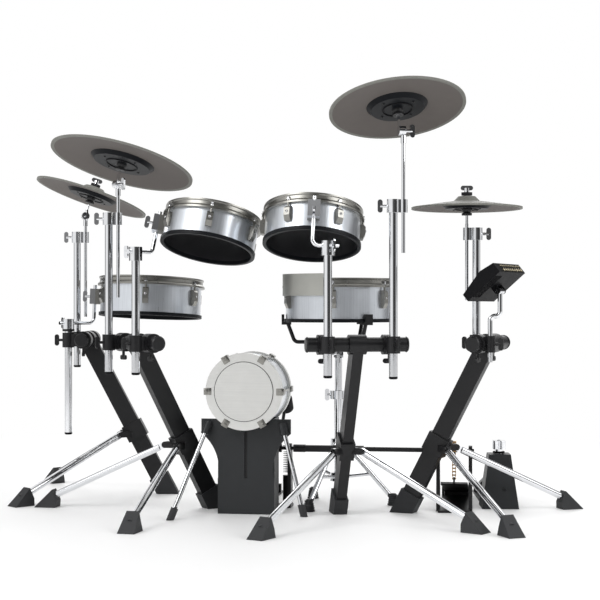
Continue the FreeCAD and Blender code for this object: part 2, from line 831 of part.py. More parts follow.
def build_tom(name, pole_head, reach, roll, tilt, radius, depth, turn):
    """Drum pad on an L-rod that a clamp on a pole's top holds."""
    cap = pole_head + z_axis * arm_clamp_rise
    frame = tilted_frame(cap + reach, roll, tilt)
    build_drum(name, frame, radius, depth, turn + 180 / lug_count)
    build_bracket(name, frame, radius, depth, turn)
    bore = Rotation(z_axis, turn).multVec(x_axis * (radius + bracket_bore_depth))
    axis = frame.Rotation.multVec(z_axis)
    foot = frame.multVec(bore)
    corner = foot + axis * ((cap.z - foot.z) / axis.z)
    top = foot + axis * (depth / 2 + bracket_height / 2 + arm_stub)
    along = (cap - corner).normalize()
    end = cap + along * (pole_radius + arm_clamp_wall + arm_stub)
    add("support_arms", bent_rod([top, corner, end], arm_radius, arm_bend))
    clamp = rod(pole_head - z_axis * arm_clamp_drop, cap + z_axis * (arm_radius + arm_clamp_wall),
                pole_radius + arm_clamp_wall)
    bolt_way = along.cross(z_axis)
    clamp = clamp.fuse(wing_bolt(cap + bolt_way * (pole_radius + arm_clamp_wall / 2), bolt_way, z_axis))
    clamp = clamp.cut(rod(pole_head - z_axis * rod_clamp_height, pole_head, pole_radius + seat_gap))
    clamp = clamp.cut(rod(corner, end + along * rod_clamp_height, arm_radius + seat_gap))
    add("pole_clamps", clamp.removeSplitter())
    joint_note(name, "slide", foot, axis)


def build_snare():
    """Snare pad with its rim-sensor cover."""
    frame = Placement(Vector(snare_x, snare_y, snare_height), Rotation())
    build_drum("snare", frame, floor_radius, snare_depth, snare_lug_turn)
    inner = floor_radius + lug_depth + part_gap
    top = snare_depth + cover_rise
    plate = turned([(inner, top - cover_height), (inner + cover_wall, top - cover_height),
                    (inner + cover_wall, top), (inner, top)])
    lip_low = snare_depth - hoop_height / 2
    lip = ring(inner + cover_wall, floor_radius + hoop_wall + seat_gap, lip_low, lip_low + cover_wall)
    wedge_reach = Rotation(z_axis, cover_span / 2).multVec(x_axis * (2 * inner))
    wedge_low = Vector(wedge_reach.x, -wedge_reach.y, 0)
    wedge = extruded([Vector(0, 0, 0), wedge_low, wedge_reach], z_axis * (2 * top))
    cover = plate.fuse(lip).common(wedge)
    add("snare_hoop", placed(turned_about_z(cover.removeSplitter(), cover_turn), frame))


def build_snare_stand():
    """Tripod base, sliding upper tube and three-armed basket."""
    place = Placement(Vector(snare_x, snare_y, 0), Rotation())
    outer = snare_tube_radius
    bore = outer - snare_tube_wall
    base = ring(outer, bore, snare_tube_low, snare_tube_high)
    half = snare_collar_height / 2
    base = base.fuse(ring(snare_collar_radius, bore, snare_leg_top - half, snare_leg_top + half))
    base = base.fuse(ring(snare_collar_radius, bore, snare_brace_top - half, snare_brace_top + half))
    base = base.fuse(ring(snare_collar_radius, bore, snare_tube_high - 2 * half, snare_tube_high))
    rim = snare_collar_radius - snare_leg_radius
    leg_start = Vector(rim, 0, snare_leg_top)
    leg_end = Vector(snare_leg_reach, 0, snare_foot_height / 2)
    brace_end = leg_start + (leg_end - leg_start) * snare_brace_share
    brace_start = Vector(rim, 0, snare_brace_top)
    foot = turned([(0, 0), (snare_foot_radius, 0), (snare_foot_radius, snare_foot_height / 2),
                   (snare_leg_radius, snare_foot_height), (0, snare_foot_height)])
    foot = foot.translated(Vector(snare_leg_reach, 0, 0))
    leg = rod(leg_start, leg_end, snare_leg_radius).fuse(rod(brace_start, brace_end, arm_radius))
    leg = leg.cut(ring(bore, 0, 0, snare_tube_high))
    for count in range(3):
        turn = snare_leg_turn + count * 360 / 3
        base = base.fuse(turned_about_z(leg, turn))
        add("snare_stand", placed(turned_about_z(foot.cut(leg), turn), place))
    bolt = wing_bolt(Vector(outer, 0, snare_tube_high - half), x_axis, z_axis)
    base = base.fuse(turned_about_z(bolt.cut(ring(bore, 0, 0, snare_tube_high)), 180))
    add("snare_stand", placed(base.removeSplitter(), place))
    pivot = Vector(0, 0, snare_pivot_height)
    disc = tilter_thickness / 2
    lower = rod(Vector(0, 0, snare_inner_low), Vector(0, 0, snare_pivot_height - outer), bore - run_gap)
    lower = lower.fuse(block(Vector(-disc, -outer, snare_pivot_height - 2 * outer),
                             Vector(disc, outer, snare_pivot_height)))
    lower = lower.fuse(rod(pivot - x_axis * disc, pivot + x_axis * disc, outer))
    lower = lower.fuse(rod(pivot - x_axis * 3 * disc, pivot + x_axis * 3 * disc, stud_radius))
    lower = lower.fuse(wing_bolt(pivot - x_axis * 3 * disc, x_axis * -1, z_axis))
    add("snare_tube", placed(lower.removeSplitter(), place))
    joint_note("snare_tube", "slide", place.multVec(pivot), z_axis)
    joint_note("snare_basket", "hinge", place.multVec(pivot), x_axis)
    build_basket(place, pivot, disc, outer)


def build_basket(place, pivot, disc, outer):
    """Basket hub with three arms and rubber grips that carry the snare's base ring."""
    hub_low = snare_pivot_height + basket_hub_rise
    hub = rod(Vector(0, 0, hub_low), Vector(0, 0, hub_low + basket_hub_height), basket_hub_radius)
    for side in (-1, 1):
        inner = side * (disc + part_gap)
        far = side * (2 * disc + disc)
        ear = rod(Vector(inner, 0, snare_pivot_height), Vector(far, 0, snare_pivot_height), outer)
        low_x, high_x = sorted((inner, far))
        ear = ear.fuse(block(Vector(low_x, -outer, snare_pivot_height),
                             Vector(high_x, outer, hub_low + part_gap)))
        hub = hub.fuse(ear)
    hub = hub.cut(rod(pivot - x_axis * 2 * outer, pivot + x_axis * 2 * outer, stud_radius + run_gap))
    ring_radius = floor_radius + base_ring_wall
    seat = ring_radius - basket_grip_depth / 2
    shelf_top = snare_height - part_gap
    shelf_low = shelf_top - basket_grip_wall
    arm_height = hub_low + basket_hub_height / 2
    arm = bent_rod([Vector(0, 0, arm_height), Vector(seat - basket_grip_depth, 0, arm_height),
                    Vector(seat, 0, shelf_low + basket_grip_wall / 2)], basket_arm_radius, arm_bend)
    outline = [(seat - basket_grip_depth / 2, shelf_low), (ring_radius + basket_grip_wall, shelf_low),
               (ring_radius + basket_grip_wall, shelf_top + basket_grip_rise),
               (ring_radius + part_gap, shelf_top + basket_grip_rise),
               (ring_radius + part_gap, shelf_top), (seat - basket_grip_depth / 2, shelf_top)]
    half = basket_grip_width / 2
    grip = extruded([Vector(x, -half, z) for x, z in outline], Vector(0, basket_grip_width, 0))
    grip = grip.cut(arm)
    for count in range(3):
        turn = basket_turn + count * 360 / 3
        hub = hub.fuse(turned_about_z(arm, turn))
        add("snare_basket", placed(turned_about_z(grip, turn), place))
    add("snare_basket", placed(hub.removeSplitter(), place))


def kick_frame():
    """Frame of the kick and the double pedal: X along the drive line, Y to the player."""
    return Placement(Vector(0, 0, 0), Rotation(z_axis, kick_yaw))


def kick_rear():
    """Place of the striking head's outer plane along the kick's axis."""
    return axle_y - beater_depth / 2 - part_gap


def build_kick():
    """Kick pad: shell, two hoops with claws and tension rods, front plate and striking head."""
    place = kick_frame()
    length = kick_rear() + kick_head_depth - kick_front
    back = place.multVec(Vector(0, kick_front + length, kick_height))
    frame = frame_along(back, place.Rotation.multVec(y_axis * -1), z_axis)
    outer = kick_radius + kick_hoop_wall
    seat = kick_head_depth + head_thickness
    shell = ring(kick_radius, kick_radius - drum_wall, seat, length - seat)
    add("kick_shell", placed(shell, frame))
    claw = block(Vector(kick_radius + seat_gap, -claw_width / 2, 0),
                 Vector(outer + claw_rise, claw_width / 2, claw_length))
    head = ring(kick_radius, 0, kick_head_depth, seat)
    disc = ring(kick_radius - kick_front_face - part_gap, 0, -kick_disc_rise, seat)
    flip = Placement(Vector(0, 0, length), Rotation(x_axis, 180))
    hoops = []
    for face in (kick_face, kick_front_face):
        hoop = turned([(kick_radius - face, 0), (outer, 0), (outer, kick_hoop_depth),
                       (kick_radius + seat_gap, kick_hoop_depth), (kick_radius + seat_gap, kick_head_depth),
                       (kick_radius - face, kick_head_depth)])
        for count in range(claw_count):
            hoop = hoop.fuse(turned_about_z(claw, (count + 1 / 2) * 360 / claw_count))
        hoops.append(hoop.removeSplitter())
    rear_hoop, front_hoop = hoops
    bar = rod(Vector(outer, 0, claw_length), Vector(outer, 0, length - claw_length), kick_rod_radius)
    rods = [placed(turned_about_z(bar, (count + 1 / 2) * 360 / claw_count), frame) for count in range(claw_count)]
    add("kick_hoops", placed(rear_hoop, frame), placed(placed(front_hoop, flip), frame), *rods)
    add("kick_heads", placed(head, frame), placed(placed(head.fuse(disc).removeSplitter(), flip), frame))


def cradle_edge(place_y):
    """Arc of a tower sheet's top edge that the kick's shell lies in, from right to left, and its ends."""
    radius = kick_radius + seat_gap
    half = math.sqrt(radius ** 2 - (kick_height - tower_height) ** 2)
    right = Vector(half, place_y, tower_height)
    left = Vector(-half, place_y, tower_height)
    return Part.Arc(right, Vector(0, place_y, kick_height - radius), left).toShape(), right, left


def wing_edge_arc(side, place_y):
    """Concave lower edge of a wing, with its lower and upper ends."""
    low = Vector(side * tower_width / 2, place_y, wing_low)
    high = Vector(side * (tower_width / 2 + wing_reach), place_y, tower_height - wing_edge)
    sag = (low + high) / 2 + Vector(-side * wing_reach, 0, wing_edge) * wing_sag_share
    return Part.Arc(low, sag, high).toShape(), low, high


def tower_front_sheet():
    """Front sheet with a wing on each side and the cradle in its top edge."""
    cradle, cradle_right, cradle_left = cradle_edge(tower_front)
    right_arc, right_low, right_high = wing_edge_arc(1, tower_front)
    left_arc, left_low, left_high = wing_edge_arc(-1, tower_front)
    right_foot = Vector(tower_width / 2, tower_front, 0)
    left_foot = Vector(-tower_width / 2, tower_front, 0)
    right_top = Vector(right_high.x, tower_front, tower_height)
    left_top = Vector(left_high.x, tower_front, tower_height)
    edges = [Part.makeLine(left_foot, right_foot), Part.makeLine(right_foot, right_low), right_arc,
             Part.makeLine(right_high, right_top), Part.makeLine(right_top, cradle_right), cradle,
             Part.makeLine(cradle_left, left_top), Part.makeLine(left_top, left_high), left_arc,
             Part.makeLine(left_low, left_foot)]
    sheet = Part.Face(Part.Wire(Part.__sortEdges__(edges))).extrude(Vector(0, tower_sheet, 0))
    slot = block(Vector(-tower_slot_width / 2, tower_front - tower_sheet, tower_slot_low),
                 Vector(tower_slot_width / 2, tower_front + 2 * tower_sheet, tower_slot_high))
    return sheet.cut(slot)


def tower_back_sheet():
    """Back sheet, open at the bottom, with the cradle in its top edge."""
    place_y = tower_back - tower_sheet
    cradle, cradle_right, cradle_left = cradle_edge(place_y)
    corners = [Vector(side * tower_width / 2, place_y, z)
               for side, z in ((-1, tower_height), (-1, tower_back_low), (1, tower_back_low), (1, tower_height))]
    edges = [Part.makeLine(cradle_left, corners[0])]
    edges += [Part.makeLine(low, high) for low, high in zip(corners, corners[1:])]
    edges += [Part.makeLine(corners[-1], cradle_right), cradle]
    return Part.Face(Part.Wire(Part.__sortEdges__(edges))).extrude(Vector(0, tower_sheet, 0))


def build_tower():
    """Folded sheet tower that cradles the kick, with a spur on each side."""
    place = kick_frame()
    half = tower_width / 2
    inner_front = tower_front + tower_sheet
    tower = tower_front_sheet().fuse(tower_back_sheet())
    tower = tower.fuse(block(Vector(-half, inner_front, 0), Vector(half, tower_back, tower_sheet)))
    for side in (-1, 1):
        low_x, high_x = sorted((side * half, side * (half - tower_sheet)))
        tower = tower.fuse(block(Vector(low_x, inner_front, tower_sheet),
                                 Vector(high_x, tower_back - tower_sheet, tower_height)))
    for side, foot_x, foot_y in ((-1, left_spur_x, left_spur_y), (1, right_spur_x, right_spur_y)):
        start = Vector(side * (half + wing_reach / 2), tower_front + tower_sheet - spur_boss_radius, spur_top)
        tip = Vector(foot_x, foot_y, 0)
        run = (tip - start).normalize()
        tower = tower.fuse(rod(start, start + run * spur_boss_length, spur_boss_radius))
        tower = tower.cut(rod(start - run * overrun, tip, spur_radius + seat_gap))
        bar = rod(start, tip - run * spur_tip_length / 2, spur_radius)
        rubber = rod(tip - run * spur_tip_length, tip + run * spur_tip_length, spur_tip_radius).cut(bar)
        floor = 2 * spur_tip_length
        rubber = rubber.cut(centred_block(floor, floor, -floor, 0).translated(tip))
        add("kick_spurs", placed(bar, place), placed(rubber, place))
    gap = kick_rod_radius + part_gap
    notch = block(Vector(-gap, tower_front - overrun, kick_radius - overrun),
                  Vector(gap, tower_back + overrun, kick_radius + kick_hoop_wall + gap))
    for count in range(claw_count):
        turn = Rotation(y_axis, (count + 1 / 2) * 360 / claw_count)
        tower = tower.cut(placed(notch, Placement(Vector(0, 0, kick_height), turn)))
    add("kick_tower", placed(tower.removeSplitter(), place))


def upright(middle):
    """Bearing post of a pedal about an X place, with its axle bore."""
    low = middle - post_thickness / 2
    high = middle + post_thickness / 2
    foot = post_foot / 2
    plate = side_plate([(axle_y - foot, 0), (axle_y + foot, 0), (axle_y + post_head_radius, axle_height),
                        (axle_y - post_head_radius, axle_height)], low, high)
    head = rod(Vector(low, axle_y, axle_height), Vector(high, axle_y, axle_height), post_head_radius)
    bore = rod(Vector(low - overrun, axle_y, axle_height), Vector(high + overrun, axle_y, axle_height),
               axle_radius + run_gap)
    return plate.fuse(head).cut(bore)


def pedal_frame(middle, front, posts, anchors):
    """Base plate of a pedal with bearing posts, spring anchors, heel plate and heel pin."""
    edges = [post - post_thickness / 2 for post in posts] + [post + post_thickness / 2 for post in posts]
    edges += [x - spring_eye_radius for x in anchors] + [x + spring_eye_radius for x in anchors]
    left = min(edges)
    right = max(edges)
    base = block(Vector(middle - pedal_half_width, front, 0),
                 Vector(middle + pedal_half_width, pedal_back, pedal_base))
    base = base.fuse(block(Vector(left, axle_y - post_foot / 2, 0),
                           Vector(right, axle_y + lever_reach + spring_eye_radius, pedal_base)))
    for post in posts:
        base = base.fuse(upright(post))
    for x in anchors:
        base = base.fuse(spring_anchor(x))
    lug_inside = board_width / 2 + part_gap
    for side in (-1, 1):
        low_x, high_x = sorted((middle + side * lug_inside, middle + side * (lug_inside + heel_lug - part_gap)))
        lug = side_plate([(heel_y - knuckle_radius, 0), (heel_y + knuckle_radius, 0),
                          (heel_y + knuckle_radius, heel_height + knuckle_radius),
                          (heel_y - knuckle_radius, heel_height + knuckle_radius)], low_x, high_x)
        base = base.fuse(lug)
    pin = rod(Vector(middle - lug_inside - heel_lug / 2, heel_y, heel_height),
              Vector(middle + lug_inside + heel_lug / 2, heel_y, heel_height), heel_pin_radius)
    plate_y = heel_y + knuckle_radius + part_gap
    plate = side_plate([(plate_y, 0), (plate_y + heel_plate_length, 0),
                        (plate_y + heel_plate_length, heel_height - knuckle_radius),
                        (plate_y, heel_height)],
                       middle - board_width / 2, middle + board_width / 2)
    return base.fuse(pin).fuse(plate).removeSplitter()


def footboard(middle):
    """Footboard with heel knuckle and the toe lug that holds the chain."""
    toe_y = axle_y - cam_radius
    half = board_width / 2
    thick = board_thickness
    board = side_plate([(heel_y, heel_height - thick / 2), (heel_y, heel_height + thick / 2),
                        (toe_y, toe_height + thick / 2), (toe_y - thick, toe_height),
                        (toe_y, toe_height - thick / 2)], middle - half, middle + half)
    board = board.fuse(rod(Vector(middle - half, heel_y, heel_height),
                           Vector(middle + half, heel_y, heel_height), knuckle_radius))
    lug = rod(Vector(middle - toe_lug_width / 2, toe_y, toe_height + toe_lug_height),
              Vector(middle + toe_lug_width / 2, toe_y, toe_height + toe_lug_height), chain_plate_height / 2)
    lug = lug.fuse(block(Vector(middle - toe_lug_width / 2, toe_y - chain_plate_height / 2, toe_height),
                         Vector(middle + toe_lug_width / 2, toe_y + chain_plate_height / 2,
                                toe_height + toe_lug_height)))
    lug = lug.cut(rod(Vector(middle - half, toe_y, toe_height + toe_lug_height),
                      Vector(middle + half, toe_y, toe_height + toe_lug_height), chain_pin_radius + part_gap))
    bore = rod(Vector(middle - board_width, heel_y, heel_height),
               Vector(middle + board_width, heel_y, heel_height), heel_pin_radius + run_gap)
    return board.fuse(lug).cut(bore).removeSplitter()


def chain(middle):
    """Roller chain from the toe lug up to the cam and over it, as linked plates on pins."""
    toe = Vector(middle, axle_y - cam_radius, toe_height + toe_lug_height)
    straight = axle_height - toe.z
    whole = straight + cam_radius * math.pi / 2
    count = round(whole / chain_pitch)
    pins = []
    for step in range(count + 1):
        along = step * whole / count
        turn = max(0, along - straight) / cam_radius
        pins.append(Vector(middle, axle_y - cam_radius * math.cos(turn),
                           min(toe.z + along, axle_height) + cam_radius * math.sin(turn)))
    links = None
    for step, (low, high) in enumerate(zip(pins, pins[1:])):
        inside = chain_inside / 2 + (step % 2) * chain_plate
        run = (high - low).normalize()
        across = run.cross(x_axis) * (chain_plate_height / 2)
        ends = run * (chain_plate_height / 2)
        outline = [low - ends / 2 - across, high + ends / 2 - across, high + ends,
                   high + ends / 2 + across, low - ends / 2 + across, low - ends]
        for side in (-1, 1):
            plate = extruded([point + x_axis * (side * inside) for point in outline],
                             x_axis * (side * chain_plate))
            links = plate if links is None else links.fuse(plate)
    reach = chain_inside / 2 + 2 * chain_plate
    for point in pins:
        links = links.fuse(rod(point - x_axis * reach, point + x_axis * reach, chain_pin_radius))
    return links.removeSplitter()


def cam(middle):
    """Cam disc that the chain lies on."""
    radius = cam_radius - chain_pin_radius - seat_gap
    return rod(Vector(middle - cam_width / 2, axle_y, axle_height),
               Vector(middle + cam_width / 2, axle_y, axle_height), radius)


def beater(x):
    """Beater with its hub, leaning back at rest."""
    hub = rod(Vector(x - beater_hub_width / 2, axle_y, axle_height),
              Vector(x + beater_hub_width / 2, axle_y, axle_height), beater_hub_radius)
    stem = rod(Vector(x, axle_y, axle_height), Vector(x, axle_y, kick_height), beater_rod_radius)
    head = rod(Vector(x, axle_y - beater_depth / 2, kick_height),
               Vector(x, axle_y + beater_depth / 2, kick_height), beater_radius)
    upright_beater = hub.fuse(stem)
    axle = Vector(x, axle_y, axle_height)
    leaning = Placement(axle, Rotation(x_axis, -beater_lean)).multiply(Placement(axle * -1, Rotation()))
    stem = placed(upright_beater, leaning)
    head = placed(head, leaning)
    return stem, head.cut(stem)


def lever(x):
    """Arm on an axle, with the round pad that its return spring pulls."""
    arm = block(Vector(x - lever_width / 2, axle_y, axle_height - lever_height / 2),
                Vector(x + lever_width / 2, axle_y + lever_reach, axle_height + lever_height / 2))
    pad = rod(Vector(x, axle_y + lever_reach, axle_height - lever_height / 2),
              Vector(x, axle_y + lever_reach, axle_height + lever_height / 2), spring_eye_radius)
    return arm.fuse(pad)


def spring_anchor(x):
    """Post on the base whose flat top holds a return spring's lower end."""
    top = spring_foot()
    return rod(Vector(x, axle_y + lever_reach, 0), Vector(x, axle_y + lever_reach, top), spring_eye_radius)


def spring_foot():
    """Height of a return spring's lower end."""
    length = spring_curls * spring_pitch + 2 * (spring_hook + 2 * spring_wire)
    return axle_height - lever_height / 2 - 2 * part_gap - length


def spring(x):
    """Extension spring between its anchor and its lever: one tube along quarter-turn arcs."""
    low = spring_foot() + part_gap + 2 * spring_wire + spring_hook
    centre = Vector(x, axle_y + lever_reach, low)
    quarters = 4 * spring_curls

    def at(quarter):
        turn = quarter * math.pi / 2
        return centre + Vector(spring_radius * math.cos(turn), spring_radius * math.sin(turn),
                               spring_pitch * quarter / 4)

    slope = math.atan2(spring_pitch, 2 * math.pi * spring_radius)
    turn = math.pi / 2 - slope

    def bow(end, ahead):
        side = y_axis * ahead
        foot = end - (side * (1 - math.cos(turn)) + z_axis * (ahead * math.sin(turn))) * spring_hook
        middle = foot + (side * (1 - math.cos(turn / 2)) + z_axis * (ahead * math.sin(turn / 2))) * spring_hook
        return foot, middle

    first_foot, first_middle = bow(at(0), 1)
    last_foot, last_middle = bow(at(quarters), -1)
    bottom = first_foot - z_axis * (first_foot.z - spring_foot() - seat_gap)
    top = Vector(last_foot.x, last_foot.y, axle_height - lever_height / 2 - part_gap)
    edges = [Part.LineSegment(bottom, first_foot).toShape(), Part.Arc(first_foot, first_middle, at(0)).toShape()]
    for quarter in range(quarters):
        edges.append(Part.Arc(at(quarter), at(quarter + 1 / 2), at(quarter + 1)).toShape())
    edges.append(Part.Arc(at(quarters), last_middle, last_foot).toShape())
    edges.append(Part.LineSegment(last_foot, top).toShape())
    centre_line = Part.Wire(edges)
    print("SPRING least self-gap", round(least_self_gap(centre_line.discretize(Distance=spring_wire)), 2), "mm")
    circle = Part.Wire(Part.makeCircle(spring_wire, bottom, z_axis))
    return centre_line.makePipeShell([circle], True, False)


def least_self_gap(points):
    """Least clear space between stretches of a spring's wire that lie more than half a curl apart."""
    skip = int(math.pi * spring_radius / spring_wire)
    return min(low.distanceToPoint(high) for index, low in enumerate(points)
               for high in points[index + skip:]) - 2 * spring_wire


def build_double_pedal():
    """Main pedal, slave pedal and the drive line between them."""
    place = kick_frame()
    front = tower_back + part_gap
    posts = (main_left_post, main_right_post, outer_post)
    anchors = (main_lever_x, second_lever_x)
    for x in anchors:
        add("pedal_springs", placed(spring(x), place))
    add("main_pedal_base", placed(pedal_frame(main_middle, front, posts, anchors), place))
    add("main_footboard", placed(footboard(main_middle), place))
    split = main_right_post
    axle = rod(Vector(main_lever_x - lever_width, axle_y, axle_height),
               Vector(split - part_gap, axle_y, axle_height), axle_radius)
    stem, head = beater(main_beater_x)
    axle = axle.fuse(cam(main_middle)).fuse(stem).fuse(lever(main_lever_x))
    add("main_axle", placed(axle.removeSplitter(), place), placed(head, place))
    add("main_chain", placed(chain(main_middle), place))
    slave_posts = (slave_middle - slave_post_side, slave_middle + slave_post_side)
    slave = pedal_frame(slave_middle, axle_y - post_foot / 2 - heel_plate_length, slave_posts, ())
    add("slave_pedal_base", placed(slave, place))
    add("slave_footboard", placed(footboard(slave_middle), place))
    start = Vector(split + part_gap, axle_y, axle_height)
    first = Vector(outer_post + post_thickness, axle_y, axle_height)
    last = Vector(slave_posts[0] - post_thickness, axle_y, axle_height)
    end = Vector(slave_posts[1] + post_thickness, axle_y, axle_height)
    line = rod(start, first + x_axis * universal_length, axle_radius)
    line = line.fuse(rod(last - x_axis * universal_length, end, axle_radius))
    line = line.fuse(rod(first, first + x_axis * universal_length, universal_radius))
    line = line.fuse(rod(last - x_axis * universal_length, last, universal_radius))
    shaft_start = first + x_axis * (universal_length - overrun)
    shaft_end = last - x_axis * (universal_length - overrun)
    middle = (shaft_start + shaft_end) / 2
    line = line.fuse(rod(shaft_start, shaft_end, shaft_radius))
    line = line.fuse(block(shaft_start - Vector(0, shaft_side, shaft_side),
                           middle + Vector(0, shaft_side, shaft_side)))
    stem, head = beater(second_beater_x)
    line = line.fuse(cam(slave_middle)).fuse(stem).fuse(lever(second_lever_x))
    add("drive_line", placed(line.removeSplitter(), place), placed(head, place))
    add("slave_chain", placed(chain(slave_middle), place))
    way = place.Rotation.multVec(x_axis)
    axle_point = place.multVec(Vector(0, axle_y, axle_height))
    joint_note("main_footboard", "hinge", place.multVec(Vector(main_middle, heel_y, heel_height)), way)
    joint_note("main_axle", "hinge", axle_point, way)
    joint_note("slave_footboard", "hinge", place.multVec(Vector(slave_middle, heel_y, heel_height)), way)
    joint_note("drive_line", "hinge", axle_point, way)


def build_hihat_pedal():
    """Hi-hat control pedal: sensor housing on a base plate, footboard and adjusting knob."""
    beside = kick_frame().multVec(Vector(slave_middle + hihat_pedal_beside, hihat_pedal_back, 0))
    place = Placement(beside, Rotation(z_axis, hihat_pedal_yaw))
    low = rectangle(Vector(0, 0, 0), x_axis, y_axis, housing_low_width, housing_low_depth)
    high = rectangle(Vector(0, 0, housing_height), x_axis, y_axis, housing_top_width, housing_top_depth)
    housing = Part.makeLoft([low, high], True, True)
    housing = housing.fuse(block(Vector(-rail_width / 2, 0, 0), Vector(rail_width / 2, rail_back, pedal_base)))
    lug_inside = hihat_board_width / 2 + part_gap
    for side in (-1, 1):
        low_x, high_x = sorted((side * lug_inside, side * (rail_width / 2)))
        housing = housing.fuse(block(Vector(low_x, hihat_heel_y - knuckle_radius, 0),
                                     Vector(high_x, hihat_heel_y + knuckle_radius, heel_height + knuckle_radius)))
    housing = housing.fuse(rod(Vector(-lug_inside - seat_gap, hihat_heel_y, heel_height),
                               Vector(lug_inside + seat_gap, hihat_heel_y, heel_height), heel_pin_radius))
    plate_y = hihat_heel_y + knuckle_radius + part_gap
    housing = housing.fuse(side_plate([(plate_y, 0), (rail_back, 0), (rail_back, heel_height - knuckle_radius),
                                       (plate_y, heel_height)], -hihat_board_width / 2, hihat_board_width / 2))
    drop = (hihat_heel_y - tongue_end) * math.sin(math.radians(hihat_press))
    slot = block(Vector(-tongue_width / 2 - slot_clearance, tongue_end - board_thickness,
                        hihat_toe_height - drop - 2 * board_thickness),
                 Vector(tongue_width / 2 + slot_clearance, housing_low_depth,
                        hihat_toe_height + 2 * board_thickness))
    housing = housing.cut(slot)
    housing = housing.cut(rod(Vector(0, 0, housing_height - knob_shaft_depth - slot_clearance),
                              Vector(0, 0, 2 * housing_height), knob_shaft_radius + run_gap))
    front = -housing_low_depth / 2
    recess = rod(Vector(screw_recess_x, front, screw_recess_height),
                 Vector(screw_recess_x, front + 3 * screw_recess_depth, screw_recess_height),
                 screw_recess_radius)
    add("hihat_housing", placed(housing.cut(recess).removeSplitter(), place))
    half = hihat_board_width / 2
    thick = board_thickness
    board_end = housing_low_depth / 2 + slot_clearance
    rise = (hihat_toe_height - heel_height) / (hihat_heel_y - tongue_end)
    end_height = heel_height + rise * (hihat_heel_y - board_end)
    board = side_plate([(hihat_heel_y, heel_height - thick / 2), (hihat_heel_y, heel_height + thick / 2),
                        (board_end, end_height + thick / 2), (board_end, end_height - thick / 2)], -half, half)
    board = board.fuse(rod(Vector(-half, hihat_heel_y, heel_height), Vector(half, hihat_heel_y, heel_height),
                           knuckle_radius))
    tongue = side_plate([(board_end + thick, end_height - thick / 2), (board_end + thick, end_height + thick / 4),
                         (tongue_end, hihat_toe_height + thick / 2), (tongue_end, hihat_toe_height - thick / 2)],
                        -tongue_width / 2, tongue_width / 2)
    board = board.fuse(tongue).cut(rod(Vector(-rail_width, hihat_heel_y, heel_height),
                                       Vector(rail_width, hihat_heel_y, heel_height),
                                       heel_pin_radius + run_gap))
    add("hihat_footboard", placed(board.removeSplitter(), place))
    stem_low = housing_height + part_gap
    knob_low = stem_low + knob_stem_height
    knob = rod(Vector(0, 0, stem_low), Vector(0, 0, knob_low + overrun), knob_stem_radius)
    knob = knob.fuse(rod(Vector(0, 0, housing_height - knob_shaft_depth), Vector(0, 0, knob_low),
                         knob_shaft_radius))
    knob = knob.fuse(rod(Vector(0, 0, knob_low), Vector(0, 0, knob_low + knob_height), knob_lobe_offset))
    for count in range(knob_lobes):
        lobe = rod(Vector(knob_lobe_offset, 0, knob_low), Vector(knob_lobe_offset, 0, knob_low + knob_height),
                   knob_lobe_radius)
        knob = knob.fuse(turned_about_z(lobe, (count + 1 / 2) * 360 / knob_lobes))
    add("hihat_knob", placed(knob.removeSplitter(), place))
    joint_note("hihat_footboard", "hinge", place.multVec(Vector(0, hihat_heel_y, heel_height)),
               place.Rotation.multVec(x_axis))
    joint_note("hihat_knob", "hinge", place.multVec(Vector(0, 0, knob_low)), z_axis)


